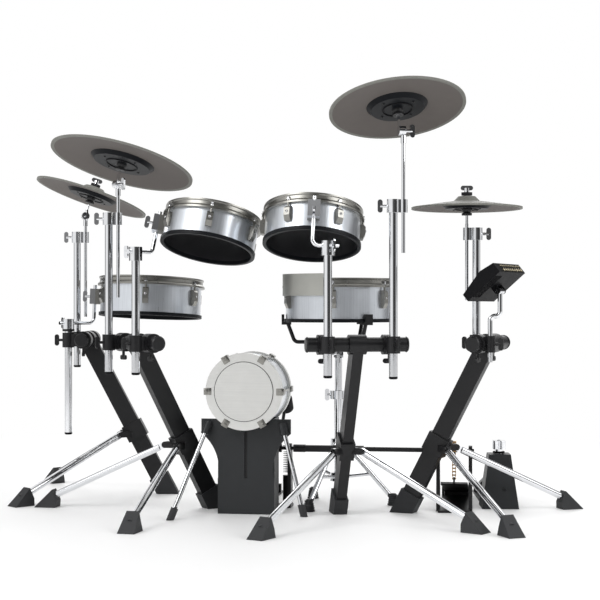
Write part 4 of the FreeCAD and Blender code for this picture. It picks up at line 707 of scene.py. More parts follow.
class Repeats:
    """Geometry Nodes trees that repeat a small piece round a ring or over a grid."""

    def __init__(self) -> None:
        """Build both trees once."""
        self.ring = self._ring()
        self.grid = self._grid()

    @staticmethod
    def _new(name: str, inputs: Labels) -> Tuple[Tree, Node]:
        """Make a tree with a piece going in and its copies coming out.

        Args:
            name: the tree's name.
            inputs: names and kinds of the inputs after the piece.

        Returns:
            The tree and its input node.
        """
        tree = bpy.data.node_groups.new(name, "GeometryNodeTree")
        tree.is_modifier = True
        tree.interface.new_socket("Piece", in_out="INPUT", socket_type="NodeSocketGeometry")
        for label, kind in (*inputs, ("Finish", "Material")):
            tree.interface.new_socket(label, in_out="INPUT", socket_type=f"NodeSocket{kind}")
        tree.interface.new_socket("Copies", in_out="OUTPUT", socket_type="NodeSocketGeometry")
        return tree, tree.nodes.new("NodeGroupInput")

    @staticmethod
    def _close(tree: Tree, start: Node, points: Socket, rotation: Optional[Socket]) -> None:
        """Put the piece on points, make the copies real and give them their material.

        Args:
            tree: the tree.
            start: its input node.
            points: socket of the points.
            rotation: socket of each copy's rotation, or None.
        """
        link = tree.links.new
        put = tree.nodes.new("GeometryNodeInstanceOnPoints")
        link(points, put.inputs["Points"])
        link(start.outputs["Piece"], put.inputs["Instance"])
        if rotation is not None:
            link(rotation, put.inputs["Rotation"])
        real = tree.nodes.new("GeometryNodeRealizeInstances")
        link(put.outputs["Instances"], real.inputs["Geometry"])
        paint = tree.nodes.new("GeometryNodeSetMaterial")
        link(real.outputs["Geometry"], paint.inputs["Geometry"])
        link(start.outputs["Finish"], paint.inputs["Material"])
        link(paint.outputs["Geometry"], tree.nodes.new("NodeGroupOutput").inputs["Copies"])

    def _ring(self) -> Tree:
        """Copies round a circle, each turned to face outwards.

        Returns:
            The tree.
        """
        tree, start = self._new("ring_copies", [("Count", "Int"), ("Radius", "Float"), ("Turn", "Float")])
        link = tree.links.new
        circle = tree.nodes.new("GeometryNodeMeshCircle")
        link(start.outputs["Count"], circle.inputs["Vertices"])
        link(start.outputs["Radius"], circle.inputs["Radius"])
        turned = tree.nodes.new("GeometryNodeTransform")
        link(circle.outputs["Mesh"], turned.inputs["Geometry"])
        link(self._about_z(tree, start.outputs["Turn"]), turned.inputs["Rotation"])
        step = float_math(tree, "DIVIDE", 2 * math.pi, start.outputs["Count"])
        angle = float_math(tree, "MULTIPLY", tree.nodes.new("GeometryNodeInputIndex").outputs[0], step)
        whole = float_math(tree, "ADD", angle, start.outputs["Turn"])
        self._close(tree, start, turned.outputs["Geometry"], self._about_z(tree, whole))
        return tree

    @staticmethod
    def _about_z(tree: Tree, angle: Socket) -> Socket:
        """Rotation about Z by an angle's socket.

        Args:
            tree: node tree to add to.
            angle: socket of the angle.

        Returns:
            The socket of the rotation.
        """
        parts = tree.nodes.new("ShaderNodeCombineXYZ")
        tree.links.new(angle, parts.inputs["Z"])
        turn = tree.nodes.new("FunctionNodeEulerToRotation")
        tree.links.new(parts.outputs[0], turn.inputs[0])
        return turn.outputs[0]

    def _grid(self) -> Tree:
        """Copies over a flat grid about the origin.

        Returns:
            The tree.
        """
        tree, start = self._new("grid_copies", [("Columns", "Int"), ("Rows", "Int"), ("Length", "Float"),
                                                ("Width", "Float")])
        link = tree.links.new
        grid = tree.nodes.new("GeometryNodeMeshGrid")
        for label, socket in (("Columns", "Vertices X"), ("Rows", "Vertices Y"), ("Length", "Size X"),
                              ("Width", "Size Y")):
            link(start.outputs[label], grid.inputs[socket])
        self._close(tree, start, grid.outputs["Mesh"], None)
        return tree


@dataclass(frozen=True)
class SoftBox:
    """A square lamp with soft light. Sizes are in metres.

    Args:
        name: the lamp's name.
        place: where it hangs.
        aim: the point it faces.
        size: its side.
        power: its power, in watts.
    """

    name: str
    place: Triple
    aim: Triple
    size: float
    power: float

    def hang(self, scene: bpy.types.Scene) -> None:
        """Add the lamp to a scene.

        Args:
            scene: the scene to light.
        """
        light = bpy.data.lights.new(self.name, "AREA")
        light.size = self.size
        light.energy = self.power
        lamp = bpy.data.objects.new(self.name, light)
        lamp.location = self.place
        lamp.rotation_euler = (Vector(self.aim) - Vector(self.place)).to_track_quat("-Z", "Y").to_euler()
        scene.collection.objects.link(lamp)


@dataclass(frozen=True)
class Studio:
    """Camera, white floor and soft light. Sizes are in metres.

    Args:
        eye: the camera's place.
        lens: focal length in millimetres.
        sensor: sensor width in millimetres.
        rise: vertical shift as a share of the frame.
        sight: how far the camera sees.
        floor_reach: half the floor's side.
        floor_drop: how far the floor lies under the feet.
        floor_roughness: the floor's roughness.
        floor_gloss: level of the floor's mirror-like share.
        fade: distances between which the floor passes into the white background.
        walls: brightness of the studio's walls by the angle from the camera's side to the right, in degrees.
        wall_top: steepness between which the walls pass into the pale ceiling.
        room_strength: brightness of the studio's light.
        lamps: the soft boxes.
    """

    eye: Triple = (0.144, -3.890, 0.562)
    lens: float = 84.0
    sensor: float = 36.0
    rise: float = 10.0 / 600.0
    sight: float = 60.0
    floor_reach: float = 14.0
    floor_drop: float = 0.4 * MM
    floor_roughness: float = 0.55
    floor_gloss: float = 0.2
    fade: Pair = (1.1, 2.6)
    walls: Tuple[Pair, ...] = ((-180.0, 1.0), (-146.0, 1.0), (-134.0, 0.04), (-112.0, 0.04), (-96.0, 1.0),
                               (-26.0, 1.0), (-6.0, 0.10), (40.0, 0.04), (62.0, 0.10), (78.0, 0.85),
                               (104.0, 0.85), (120.0, 0.04), (140.0, 0.04), (152.0, 1.0), (180.0, 1.0))
    wall_top: Pair = (0.50, 0.86)
    room_strength: float = 0.95
    lamps: Tuple[SoftBox, ...] = (SoftBox("key", (-2.6, -2.4, 3.4), (0.0, 0.0, 0.5), 2.4, 70.0),
                                  SoftBox("fill", (3.0, -1.6, 2.2), (0.1, 0.0, 0.5), 2.0, 45.0),
                                  SoftBox("back", (0.4, 3.2, 3.0), (0.0, 0.2, 0.4), 3.0, 55.0))

    def build(self) -> None:
        """Set the camera, the world, the floor and the lamps."""
        scene = bpy.context.scene
        scene.view_settings.view_transform = "Standard"
        self._camera(scene)
        self._world(scene)
        self._floor(scene)
        for lamp in self.lamps:
            lamp.hang(scene)

    def _camera(self, scene: bpy.types.Scene) -> None:
        """Set a level camera that looks to the back.

        Args:
            scene: the scene to see.
        """
        view = bpy.data.cameras.new("camera")
        view.lens = self.lens
        view.sensor_width = self.sensor
        view.shift_y = self.rise
        view.clip_end = self.sight
        camera = bpy.data.objects.new("camera", view)
        camera.location = self.eye
        camera.rotation_euler = (math.pi / 2, 0.0, 0.0)
        scene.collection.objects.link(camera)
        scene.camera = camera

    def _world(self, scene: bpy.types.Scene) -> None:
        """White to the camera, and a pale studio with dark walls in places to everything else.

        Args:
            scene: the scene to light.
        """
        world = bpy.data.worlds.new("studio")
        world.use_nodes = True
        scene.world = world
        tree = world.node_tree
        tree.nodes.clear()
        studio = tree.nodes.new("ShaderNodeBackground")
        studio.inputs["Strength"].default_value = self.room_strength
        tree.links.new(self._room(tree), studio.inputs["Color"])
        white = tree.nodes.new("ShaderNodeBackground")
        white.inputs["Color"].default_value = WHITE
        seen = tree.nodes.new("ShaderNodeLightPath").outputs["Is Camera Ray"]
        self._show(tree, seen, studio, white, tree.nodes.new("ShaderNodeOutputWorld").inputs["Surface"])

    def _room(self, tree: Tree) -> Socket:
        """Brightness of the studio by direction.

        Args:
            tree: node tree of the world.

        Returns:
            The socket of its colour.
        """
        parts = tree.nodes.new("ShaderNodeSeparateXYZ")
        tree.links.new(tree.nodes.new("ShaderNodeTexCoord").outputs["Generated"], parts.inputs[0])
        ahead = float_math(tree, "MULTIPLY", parts.outputs["Y"], -1.0)
        turn = float_math(tree, "ARCTAN2", parts.outputs["X"], ahead)
        ramp = tree.nodes.new("ShaderNodeValToRGB")
        stops = ramp.color_ramp.elements
        stops.remove(stops[1])
        for count, (angle, level) in enumerate(self.walls):
            place = angle / 360.0 + 0.5
            stop = stops.new(place) if count else stops[0]
            stop.position = place
            stop.color = (level, level, level, 1.0)
        share = float_math(tree, "ADD", float_math(tree, "DIVIDE", turn, 2 * math.pi), 0.5)
        tree.links.new(share, ramp.inputs["Fac"])
        steep = float_math(tree, "ABSOLUTE", parts.outputs["Z"], 0.0)
        return mixed(tree, Mix.COLOUR, self._eased(tree, steep, self.wall_top), ramp.outputs["Color"], WHITE)

    def _floor(self, scene: bpy.types.Scene) -> None:
        """Lay a large pale floor.

        Args:
            scene: the scene to add it to.
        """
        reach = self.floor_reach
        corners = [(-reach, -reach, 0), (reach, -reach, 0), (reach, reach, 0), (-reach, reach, 0)]
        mesh = bpy.data.meshes.new("floor")
        mesh.from_pydata(corners, [], [(0, 1, 2, 3)])
        mesh.materials.append(self._paper())
        floor = bpy.data.objects.new("floor", mesh)
        floor.location.z = -self.floor_drop
        scene.collection.objects.link(floor)

    def _paper(self) -> bpy.types.Material:
        """Returns:
            The material.
        """
        material = bpy.data.materials.new("floor")
        material.use_nodes = True
        tree = material.node_tree
        shader = tree.nodes["Principled BSDF"]
        shader.inputs["Base Color"].default_value = Tone.PAPER.opaque
        shader.inputs["Roughness"].default_value = self.floor_roughness
        shader.inputs["Specular IOR Level"].default_value = self.floor_gloss
        distance = tree.nodes.new("ShaderNodeVectorMath")
        distance.operation = "LENGTH"
        tree.links.new(tree.nodes.new("ShaderNodeTexCoord").outputs["Object"], distance.inputs[0])
        far = self._eased(tree, distance.outputs["Value"], self.fade)
        seen = tree.nodes.new("ShaderNodeLightPath").outputs["Is Camera Ray"]
        white = tree.nodes.new("ShaderNodeEmission")
        self._show(tree, float_math(tree, "MULTIPLY", far, seen), shader, white,
                   tree.nodes["Material Output"].inputs["Surface"])
        return material

    @staticmethod
    def _eased(tree: Tree, value: Socket, limits: Pair) -> Socket:
        """Pass smoothly from zero to one between two limits.

        Args:
            tree: node tree to add to.
            value: socket of the value.
            limits: where the passage starts and ends.

        Returns:
            The socket of the result.
        """
        node = tree.nodes.new("ShaderNodeMapRange")
        node.interpolation_type = "SMOOTHSTEP"
        node.inputs["From Min"].default_value, node.inputs["From Max"].default_value = limits
        tree.links.new(value, node.inputs["Value"])
        return node.outputs["Result"]

    @staticmethod
    def _show(tree: Tree, mask: Socket, under: Node, over: Node, surface: Socket) -> None:
        """Mix two shaders by a mask, and show the mix.

        Args:
            tree: node tree to add to.
            mask: socket of the mask.
            under: shader where the mask is zero.
            over: shader where it is one.
            surface: socket of the output.
        """
        mix = tree.nodes.new("ShaderNodeMixShader")
        for place, socket in enumerate((mask, under.outputs[0], over.outputs[0])):
            tree.links.new(socket, mix.inputs[place])
        tree.links.new(mix.outputs[0], surface)


@dataclass
class Dresser:
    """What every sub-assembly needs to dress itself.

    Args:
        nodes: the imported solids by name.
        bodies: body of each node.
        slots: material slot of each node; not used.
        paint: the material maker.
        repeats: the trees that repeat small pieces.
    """

    nodes: Dict[str, bpy.types.Object]
    bodies: Dict[str, str]
    slots: Dict[str, str]
    paint: Paint
    repeats: Repeats

    def assign(self, node: str, material: bpy.types.Material) -> None:
        """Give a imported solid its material.

        Args:
            node: the solid's name.
            material: its material.
        """
        mesh = self.nodes[node].data
        mesh.materials.clear()
        mesh.materials.append(material)

    def plain(self, finish: Finish, *names: str) -> None:
        """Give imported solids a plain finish.

        Args:
            finish: the finish.
            names: the solids' names.
        """
        for name in names:
            self.assign(name, self.paint.of(finish))

    def piece(self, name: str, form: Form, finish: Finish, on: str, place: Matrix) -> None:
        """Add a single piece.

        Args:
            name: the piece's name.
            form: its shape.
            finish: its finish.
            on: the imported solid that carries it.
            place: where it goes.
        """
        mesh = form.mesh(name)
        mesh.materials.append(self.paint.of(finish))
        self._seat(name, mesh, on, place)

    def spread(self, name: str, form: Form, finish: Finish, on: str, place: Matrix, tree: Tree,
               **values: Value) -> None:
        """Add the copies of a small piece, made by a tree.

        Args:
            name: the name of the copies together.
            form: the small piece's shape.
            finish: its finish.
            on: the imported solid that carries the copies.
            place: where the ring or grid goes.
            tree: the tree that repeats it.
            values: the tree's inputs by name.
        """
        seed = bpy.data.objects.new(name, form.mesh(f"{name}_one"))
        bpy.context.scene.collection.objects.link(seed)
        modifier = seed.modifiers.new("copies", "NODES")
        modifier.node_group = tree
        values["Finish"] = self.paint.of(finish)
        for socket in tree.interface.items_tree:
            if socket.in_out == "INPUT" and socket.name in values:
                modifier[socket.identifier] = values[socket.name]
        evaluated = seed.evaluated_get(bpy.context.evaluated_depsgraph_get())
        mesh = bpy.data.meshes.new_from_object(evaluated)
        seed.modifiers.remove(modifier)
        bpy.data.objects.remove(seed)
        self._seat(name, mesh, on, place)

    def ring(self, name: str, form: Form, finish: Finish, on: str, place: Matrix, count: int, radius: float,
             turn: float = 0.0) -> None:
        """Add copies of a piece round a ring.

        Args:
            name: the name of the copies together.
            form: the small piece's shape, with X pointing outwards.
            finish: its finish.
            on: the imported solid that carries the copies.
            place: the ring's frame.
            count: how many copies.
            radius: the ring's radius, in millimetres.
            turn: angle of the first copy, in degrees.
        """
        self.spread(name, form, finish, on, place, self.repeats.ring, Count=count, Radius=radius * MM,
                    Turn=math.radians(turn))

    def grid(self, name: str, form: Form, finish: Finish, on: str, place: Matrix, counts: Tuple[int, int],
             size: Pair) -> None:
        """Add copies of a piece over a grid.

        Args:
            name: the name of the copies together.
            form: the small piece's shape.
            finish: its finish.
            on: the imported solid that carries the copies.
            place: the grid's frame.
            counts: columns and rows.
            size: length and width between the outer copies, in millimetres.
        """
        self.spread(name, form, finish, on, place, self.repeats.grid, Columns=counts[0], Rows=counts[1],
                    Length=size[0] * MM, Width=size[1] * MM)

    def _seat(self, name: str, mesh: bpy.types.Mesh, on: str, place: Matrix) -> None:
        """Put a mesh in its place and let it ride on the body of the solid that carries it.

        Args:
            name: the piece's name.
            mesh: its mesh.
            on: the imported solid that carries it.
            place: where it goes.
        """
        mesh.transform(place)
        obj = bpy.data.objects.new(name, mesh)
        bpy.context.scene.collection.objects.link(obj)
        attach(obj, self.bodies[on])
        LOG.info("%s rides with %s, %d faces", name, on, len(mesh.polygons))


def frame_at(origin: Triple, axis: Triple, toward: Triple) -> Matrix:
    """Make a frame from a point, its Z and a direction near its X.

    Args:
        origin: the point, in millimetres.
        axis: direction of Z.
        toward: direction that X leans to.

    Returns:
        The frame, in metres.
    """
    up = Vector(axis).normalized()
    side = up.cross(Vector(toward)).normalized()
    ahead = side.cross(up)
    turn = Matrix((ahead, side, up)).transposed().to_4x4()
    return Matrix.Translation(Vector(origin) * MM) @ turn


def at(x: float, y: float, z: float) -> Matrix:
    """Give a move in millimetres as a matrix in metres."""
    return Matrix.Translation(Vector((x, y, z)) * MM)


def turned_by(degrees: float, letter: str) -> Matrix:
    """Give a turn about one of the axes as a matrix."""
    return Matrix.Rotation(math.radians(degrees), 4, letter)


def about(radius: float, outline: Outline) -> List[Pair]:
    """Give an outline whose radii count from a radius."""
    return [(radius + step, height) for step, height in outline]


@dataclass(frozen=True)
class Screw:
    """A domed screw head with a socket. Sizes are in millimetres.

    Args:
        radius: the head's radius.
        height: its height.
        sunk: how deep it sits in the surface.
        bore: the socket's radius, as a share of the head's.
        bore_floor: height of the socket's floor, as a share.
        shoulder: height where the dome starts, as a share.
        crown: radius and height of the dome's bend, as shares.
        sides: facets round it.
    """

    radius: float
    height: float
    sunk: float = 0.4
    bore: float = 0.45
    bore_floor: float = 0.35
    shoulder: float = 0.45
    crown: Pair = (0.78, 0.85)
    sides: int = 12

    def form(self, place: Optional[Matrix] = None) -> Form:
        """Shape the head.

        Args:
            place: where it goes in its form, or None for the origin.

        Returns:
            The form.
        """
        bore, low = self.radius * self.bore, self.height * self.bore_floor
        outline = [(0.0, -self.sunk), (self.radius, -self.sunk), (self.radius, self.height * self.shoulder),
                   (self.radius * self.crown[0], self.height * self.crown[1]), (bore, self.height), (bore, low),
                   (0.0, low)]
        return Form().turned(outline, self.sides, place)


@dataclass(frozen=True)
class Slab:
    """A block with rounded edges. Sizes are in millimetres.

    Args:
        size: its length, width and height.
        edge: radius of its edges.
        place: its centre.
    """

    size: Triple
    edge: float
    place: Triple = ORIGIN

    def add_to(self, form: Form) -> Form:
        """Add the block to a form, and give the form back."""
        return form.slab(self.size, self.edge, at(*self.place))


@dataclass(frozen=True)
class Cymbal:
    """A rubber cymbal pad on its rod. Sizes are in millimetres, and shares are of the pad's radius.

    Args:
        name: the pad's name.
        origin: centre of its edge plane.
        axis: direction of its stud.
        radius: its radius.
        holder: the solid that holds its felt and wing nut.
        rim_share: where the smooth rim starts.
        bell_share: where the bell starts.
        bow_rise: rise of the bow from the rim to the bell.
        bow_skin: how far over the rising line the upper face counts.
        plate_share: radius of the plate under the pad.
        plate_low: height of the plate's underside.
        plate_skin: height under which the plate's face counts.
        edge_share: where the plate's raised edge starts.
        edge_top: height under which that edge counts.
        stud_radius: radius of the bare stud.
        felt_radius: the felt's radius.
        felt: heights of the felt's two ends.
        seat_radius: radius of the seat under the pad.
        seat: heights of the seat's two ends.
        ring_pitch: distance between the lathe rings.
        screw: a screw of the plate.
        screw_count: how many screws the plate has.
        screw_share: radius of their ring.
        screw_turn: angle of the first screw, in degrees.
        rib_shares: inner and outer radius of the plate's raised rib.
        rib_height: the rib's height.
        rib_edge: bevel of the rib's edges.
        rib_sunk: how deep the rib sits in the plate.
        rib_sides: facets round the rib.
    """

    name: str
    origin: Triple
    axis: Triple
    radius: float
    holder: str
    rim_share: float = 0.952
    bell_share: float = 0.24
    bow_rise: float = 15.0
    bow_skin: float = 2.5
    plate_share: float = 0.452
    plate_low: float = -0.15
    plate_skin: float = 0.5
    edge_share: float = 0.38
    edge_top: float = 10.6
    stud_radius: float = 4.3
    felt_radius: float = 15.6
    felt: Pair = (37.6, 46.1)
    seat_radius: float = 14.6
    seat: Pair = (-18.0, 14.0)
    ring_pitch: float = 2.4
    screw: Screw = Screw(3.4, 2.0)
    screw_count: int = 4
    screw_share: float = 0.30
    screw_turn: float = 45.0
    rib_shares: Pair = (0.205, 0.228)
    rib_height: float = 2.2
    rib_edge: float = 1.0
    rib_sunk: float = 0.5
    rib_sides: int = 64

    def _zone(self, finish: Finish, radius: Limits = (None, None), height: Limits = (None, None),
              slope: float = 0.0) -> Zone:
        """Make a zone about the stud."""
        return Zone(finish, self.origin, self.axis, radius, height, slope)

    def dress(self, kit: Dresser) -> None:
        """Give the pad, its tilter and its rod their materials and the pad its small parts.

        Args:
            kit: the shared dresser.
        """
        plate_radius = self.radius * self.plate_share
        slope = self.bow_rise / (self.radius * (1 - self.bell_share))
        rim = self._zone(Finishes.CYMBAL_RIM, (self.radius * self.rim_share, None))
        top = self._zone(Finishes.CYMBAL_RIM, height=(slope * self.radius + self.bow_skin, None), slope=slope)
        edge = self._zone(Finishes.PLATE, (self.radius * self.edge_share, plate_radius), (None, self.edge_top))
        plate = self._zone(Finishes.PLATE, (None, plate_radius), (None, self.plate_skin))
        pad = kit.paint.zoned(f"{self.name}_rubber", Finishes.CYMBAL, (rim, top, edge, plate), rings=self.ring_pitch)
        kit.assign(f"{self.name}_cymbal", pad)
        felt = self._zone(Finishes.FELT, (self.stud_radius, self.felt_radius), self.felt)
        seat = self._zone(Finishes.PLASTIC, (self.stud_radius, self.seat_radius), self.seat)
        kit.assign(self.holder, kit.paint.zoned(f"{self.name}_chrome", Finishes.CHROME, (felt, seat)))
        rod = f"{self.name}_rod"
        if rod != self.holder:
            kit.plain(Finishes.CHROME, rod)
        self._small_parts(kit)

    def _small_parts(self, kit: Dresser) -> None:
        """Add screws and a raised rib under the plate.

        Args:
            kit: the shared dresser.
        """
        under = frame_at(self.origin, tuple(-value for value in self.axis), RIGHT)
        node = f"{self.name}_cymbal"
        place = under @ at(0.0, 0.0, -self.plate_low)
        kit.ring(f"{self.name}_plate_screws", self.screw.form(), Finishes.BLACK_COAT, node, place, self.screw_count,
                 self.radius * self.screw_share, self.screw_turn)
        inner, outer = (self.radius * share for share in self.rib_shares)
        bend = self.rib_height - self.rib_edge
        rib = Form().turned([(inner, -self.rib_sunk), (outer, -self.rib_sunk), (outer, bend),
                             (outer - self.rib_edge, self.rib_height), (inner + self.rib_edge, self.rib_height),
                             (inner, bend)], self.rib_sides)
        kit.piece(f"{self.name}_plate_rib", rib, Finishes.PLASTIC, node, place)


@dataclass(frozen=True)
class Drum:
    """A mesh drum pad. Sizes are in millimetres.

    Args:
        name: the pad's name.
        origin: centre of its base ring's underside.
        roll: lean to the right, in degrees.
        tilt: lean to the player, in degrees.
        radius: the shell's radius.
        depth: height of the head over the base ring's underside.
        first_lug: angle of the first lug, in degrees.
        wall: the shell's wall.
        skin: depth under a face at which the next zone starts.
        base_height: height of the base ring.
        base_reach: how far the base ring's zone passes the shell.
        base_skin: how far that zone passes the base ring's top.
        hoop_height: the hoop's height.
        rod_offset: distance of the tension rods from the shell.
        rod_rise: height of their heads in the hoop.
        rod_flange: outline of a rod head's round flange.
        rod_flange_sides: facets round the flange.
        rod_square: outline of its square.
        rod_square_sides: sides of its square.
        lug_count: how many lugs the pad has.
        lug_depth: how far the lugs stand out from the shell.
        lug_drop: distance of the lugs' tops under the hoop.
        lug_share: the lugs' length as a share of the pad's depth.
        lug_screw: a screw on a lug.
        lug_screw_rise: its height over the lug's middle.
        trim: heights of the two edges of the trim under the base ring.
        trim_reach: how far the trim goes inside and outside the shell.
        trim_slant: lean of its two sides.
        trim_sides: facets round it.
        fitting: finish of the lugs and the bracket.
        fitting_offset: distance from the shell at which that finish starts.
    """

    name: str
    origin: Triple
    roll: float
    tilt: float
    radius: float
    depth: float
    first_lug: float
    wall: float = 6.0
    skin: float = 0.6
    base_height: float = 9.0
    base_reach: float = 6.0
    base_skin: float = 0.02
    hoop_height: float = 22.0
    rod_offset: float = 7.0
    rod_rise: float = 9.0
    rod_flange: Outline = ((0.0, -1.5), (4.6, -1.5), (4.6, 0.6), (3.8, 1.2), (0.0, 1.2))
    rod_flange_sides: int = 16
    rod_square: Outline = ((0.0, 0.8), (4.0, 0.8), (4.0, 7.4), (3.2, 8.4), (0.0, 8.4))
    rod_square_sides: int = 4
    lug_count: int = 6
    lug_depth: float = 14.0
    lug_drop: float = 9.0
    lug_share: float = 0.42
    lug_screw: Screw = Screw(3.6, 2.2)
    lug_screw_rise: float = 4.0
    trim: Pair = (-1.0, 0.2)
    trim_reach: Pair = (5.4, 3.2)
    trim_slant: float = 0.6
    trim_sides: int = 96
    fitting: Finish = Finishes.CHROME
    fitting_offset: float = 16.5

    @property
    def frame(self) -> Matrix:
        """Frame of the pad, with Z to its head."""
        return at(*self.origin) @ turned_by(self.roll, "Y") @ turned_by(-self.tilt, "X")

    @property
    def axis(self) -> Triple:
        """Direction from the base ring to the head."""
        return tuple(self.frame.to_3x3() @ Vector(UP))

    def dress(self, kit: Dresser) -> None:
        """Give the shell, the hoop and the head their materials and the hoop its small parts.

        Args:
            kit: the shared dresser.
        """
        # Painted shade and painted light: the shell's black inner wall is kept darkest as shade in the cavity, and the
        # bridge inside is painted lighter so it shows.
        inside = Zone(Finishes.INSIDE, self.origin, self.axis, (None, self.radius - self.skin))
        painted_light_bridge = Zone(Finishes.BRIDGE_PAINTED_LIGHT, self.origin, self.axis, (None, self.radius - self.wall - self.skin))
        wrap = kit.paint.zoned(f"{self.name}_wrap", Finishes.WRAP, (inside, painted_light_bridge), along=self.axis)
        kit.assign(f"{self.name}_shell", wrap)
        base = Zone(Finishes.PLATE, self.origin, self.axis, (None, self.radius + self.base_reach),
                    (None, self.base_height + self.base_skin))
        fitting = Zone(self.fitting, self.origin, self.axis, (self.radius + self.fitting_offset, None))
        kit.assign(f"{self.name}_hoop", kit.paint.zoned(f"{self.name}_metal", Finishes.GUNMETAL, (base, fitting)))
        kit.plain(Finishes.MESH, f"{self.name}_head")
        self._small_parts(kit)

    def _small_parts(self, kit: Dresser) -> None:
        """Add tension rod heads on the hoop, screws on the lugs and the trim under the base ring.

        Args:
            kit: the shared dresser.
        """
        node = f"{self.name}_hoop"
        low = self.depth - self.hoop_height
        head = Form().turned(self.rod_flange, self.rod_flange_sides).turned(self.rod_square, self.rod_square_sides)
        kit.ring(f"{self.name}_rod_heads", head, Finishes.CHROME, node,
                 self.frame @ at(0.0, 0.0, low + self.rod_rise), self.lug_count, self.radius + self.rod_offset,
                 self.first_lug)
        middle = low - self.lug_drop - self.lug_share * self.depth / 2 + self.lug_screw_rise
        screw = self.lug_screw.form(turned_by(90.0, "Y"))
        kit.ring(f"{self.name}_lug_screws", screw, Finishes.STEEL, node, self.frame @ at(0.0, 0.0, middle),
                 self.lug_count, self.radius + self.lug_depth, self.first_lug)
        inner, outer = self.radius - self.trim_reach[0], self.radius + self.trim_reach[1]
        bottom, top = self.trim
        trim = Form().turned([(inner, top), (outer, top), (outer - self.trim_slant, bottom),
                              (inner + self.trim_slant, bottom)], self.trim_sides)
        kit.piece(f"{self.name}_base_trim", trim, Finishes.PLATE, node, self.frame)


@dataclass(frozen=True)
class Leg:
    """A folding leg with a rubber foot. Sizes are in millimetres.

    Args:
        name: the leg's name.
        knee: a point on its line near the hinge.
        run: its direction down to the foot.
        bare: length of bare tube from the knee.
    """

    name: str
    knee: Triple
    run: Triple
    bare: float = 336.0

    def dress(self, kit: Dresser) -> None:
        """Give the tube chrome and the foot rubber.

        Args:
            kit: the shared dresser.
        """
        foot = Zone(Finishes.RUBBER, self.knee, self.run, height=(self.bare, None))
        kit.assign(f"leg_{self.name}", kit.paint.zoned(f"leg_{self.name}_chrome", Finishes.CHROME, (foot,)))


@dataclass(frozen=True)
class Stands:
    """Posts, tubes, clamps and poles of the four multi-stands. Sizes are in millimetres.

    Args:
        pole_feet: lower end of each pole.
        plug_radius: radius of the plugs in the poles' lower ends.
        plug_edge: outline of a plug's edge, from its radius.
        plug_sides: facets round a plug.
        tube_clamps_top: height that the clamps on the cross tubes stay under.
    """

    pole_feet: Tuple[Triple, ...]
    plug_radius: float = 11.35
    plug_edge: Outline = ((-3.0, -2.6), (0.0, -0.8), (0.0, 4.0), (-0.5, 4.4))
    plug_sides: int = 32
    tube_clamps_top: float = 505.0

    def dress(self, kit: Dresser) -> None:
        """Give the stands their materials and the poles their end plugs.

        Args:
            kit: the shared dresser.
        """
        kit.plain(Finishes.CHROME, "poles", "support_arms")
        kit.plain(Finishes.BLACK_COAT, "stand_posts", "cross_tubes", "leg_collars")
        tops = Zone(Finishes.CHROME, ORIGIN, UP, height=(self.tube_clamps_top, None))
        kit.assign("pole_clamps", kit.paint.zoned("clamp_coat", Finishes.BLACK_COAT, (tops,)))
        kit.plain(Finishes.RUBBER, "post_shoes")
        edge = about(self.plug_radius, self.plug_edge)
        outline = [(0.0, edge[0][1]), *edge, (0.0, edge[-1][1])]
        for count, foot in enumerate(self.pole_feet, 1):
            plug = Form().turned(outline, self.plug_sides)
            kit.piece(f"pole_plug_{count}", plug, Finishes.PLASTIC, "poles", at(*foot))


@dataclass(frozen=True)
class SnareStand:
    """Tripod, tube and basket under the snare. Sizes are in millimetres.

    Args:
        centre: the stand's foot point on the floor.
        reach: distance of its feet from the middle.
        turn: angle of its first leg, in degrees.
        foot_count: how many feet it has.
        foot_depth: how far a foot reaches inwards.
        foot_top: height of the feet.
        foot_ends: heights of the ends of a foot's ribbed sleeve.
        foot_sides: facets round a foot.
        rib_count: how many ribs a foot has.
        rib_first: height of its lowest rib.
        rib_pitch: distance between ribs.
        rib_radius: radius of the lowest rib.
        rib_taper: how much smaller each next rib is.
        rib: outline of a rib, from its radius and height.
        hub_radius: radius of the basket's hub.
        hub_top: height of the hub's top.
    """

    centre: Triple = (255.0, 150.0, 0.0)
    reach: float = 158.0
    turn: float = -3.0
    foot_count: int = 3
    foot_depth: float = 16.0
    foot_top: float = 34.2
    foot_ends: Pair = (0.6, 34.6)
    foot_sides: int = 24
    rib_count: int = 5
    rib_first: float = 1.0
    rib_pitch: float = 6.4
    rib_radius: float = 17.0
    rib_taper: float = 1.2
    rib: Outline = ((0.0, 0.0), (0.0, 3.6), (-3.4, 4.2), (-3.4, 6.0))
    hub_radius: float = 22.0
    hub_top: float = 482.0

    def dress(self, kit: Dresser) -> None:
        """Give the stand its materials and the feet their ribs.

        Args:
            kit: the shared dresser.
        """
        feet = Zone(Finishes.RUBBER, self.centre, UP, (self.reach - self.foot_depth, None), (None, self.foot_top))
        kit.assign("snare_stand", kit.paint.zoned("snare_stand_chrome", Finishes.CHROME, (feet,)))
        kit.plain(Finishes.CHROME, "snare_tube")
        hub = Zone(Finishes.CHROME, self.centre, UP, (None, self.hub_radius), (None, self.hub_top))
        kit.assign("snare_basket", kit.paint.zoned("basket_coat", Finishes.BLACK_COAT, (hub,)))
        outline: List[Pair] = [(0.0, self.foot_ends[0])]
        for level in range(self.rib_count):
            low = self.rib_first + level * self.rib_pitch
            ridge = about(self.rib_radius - level * self.rib_taper, self.rib)
            outline += [(radius, low + height) for radius, height in ridge]
        outline += [(0.0, self.foot_ends[1])]
        kit.ring("snare_stand_feet", Form().turned(outline, self.foot_sides), Finishes.RUBBER, "snare_stand",
                 at(*self.centre), self.foot_count, self.reach, self.turn)


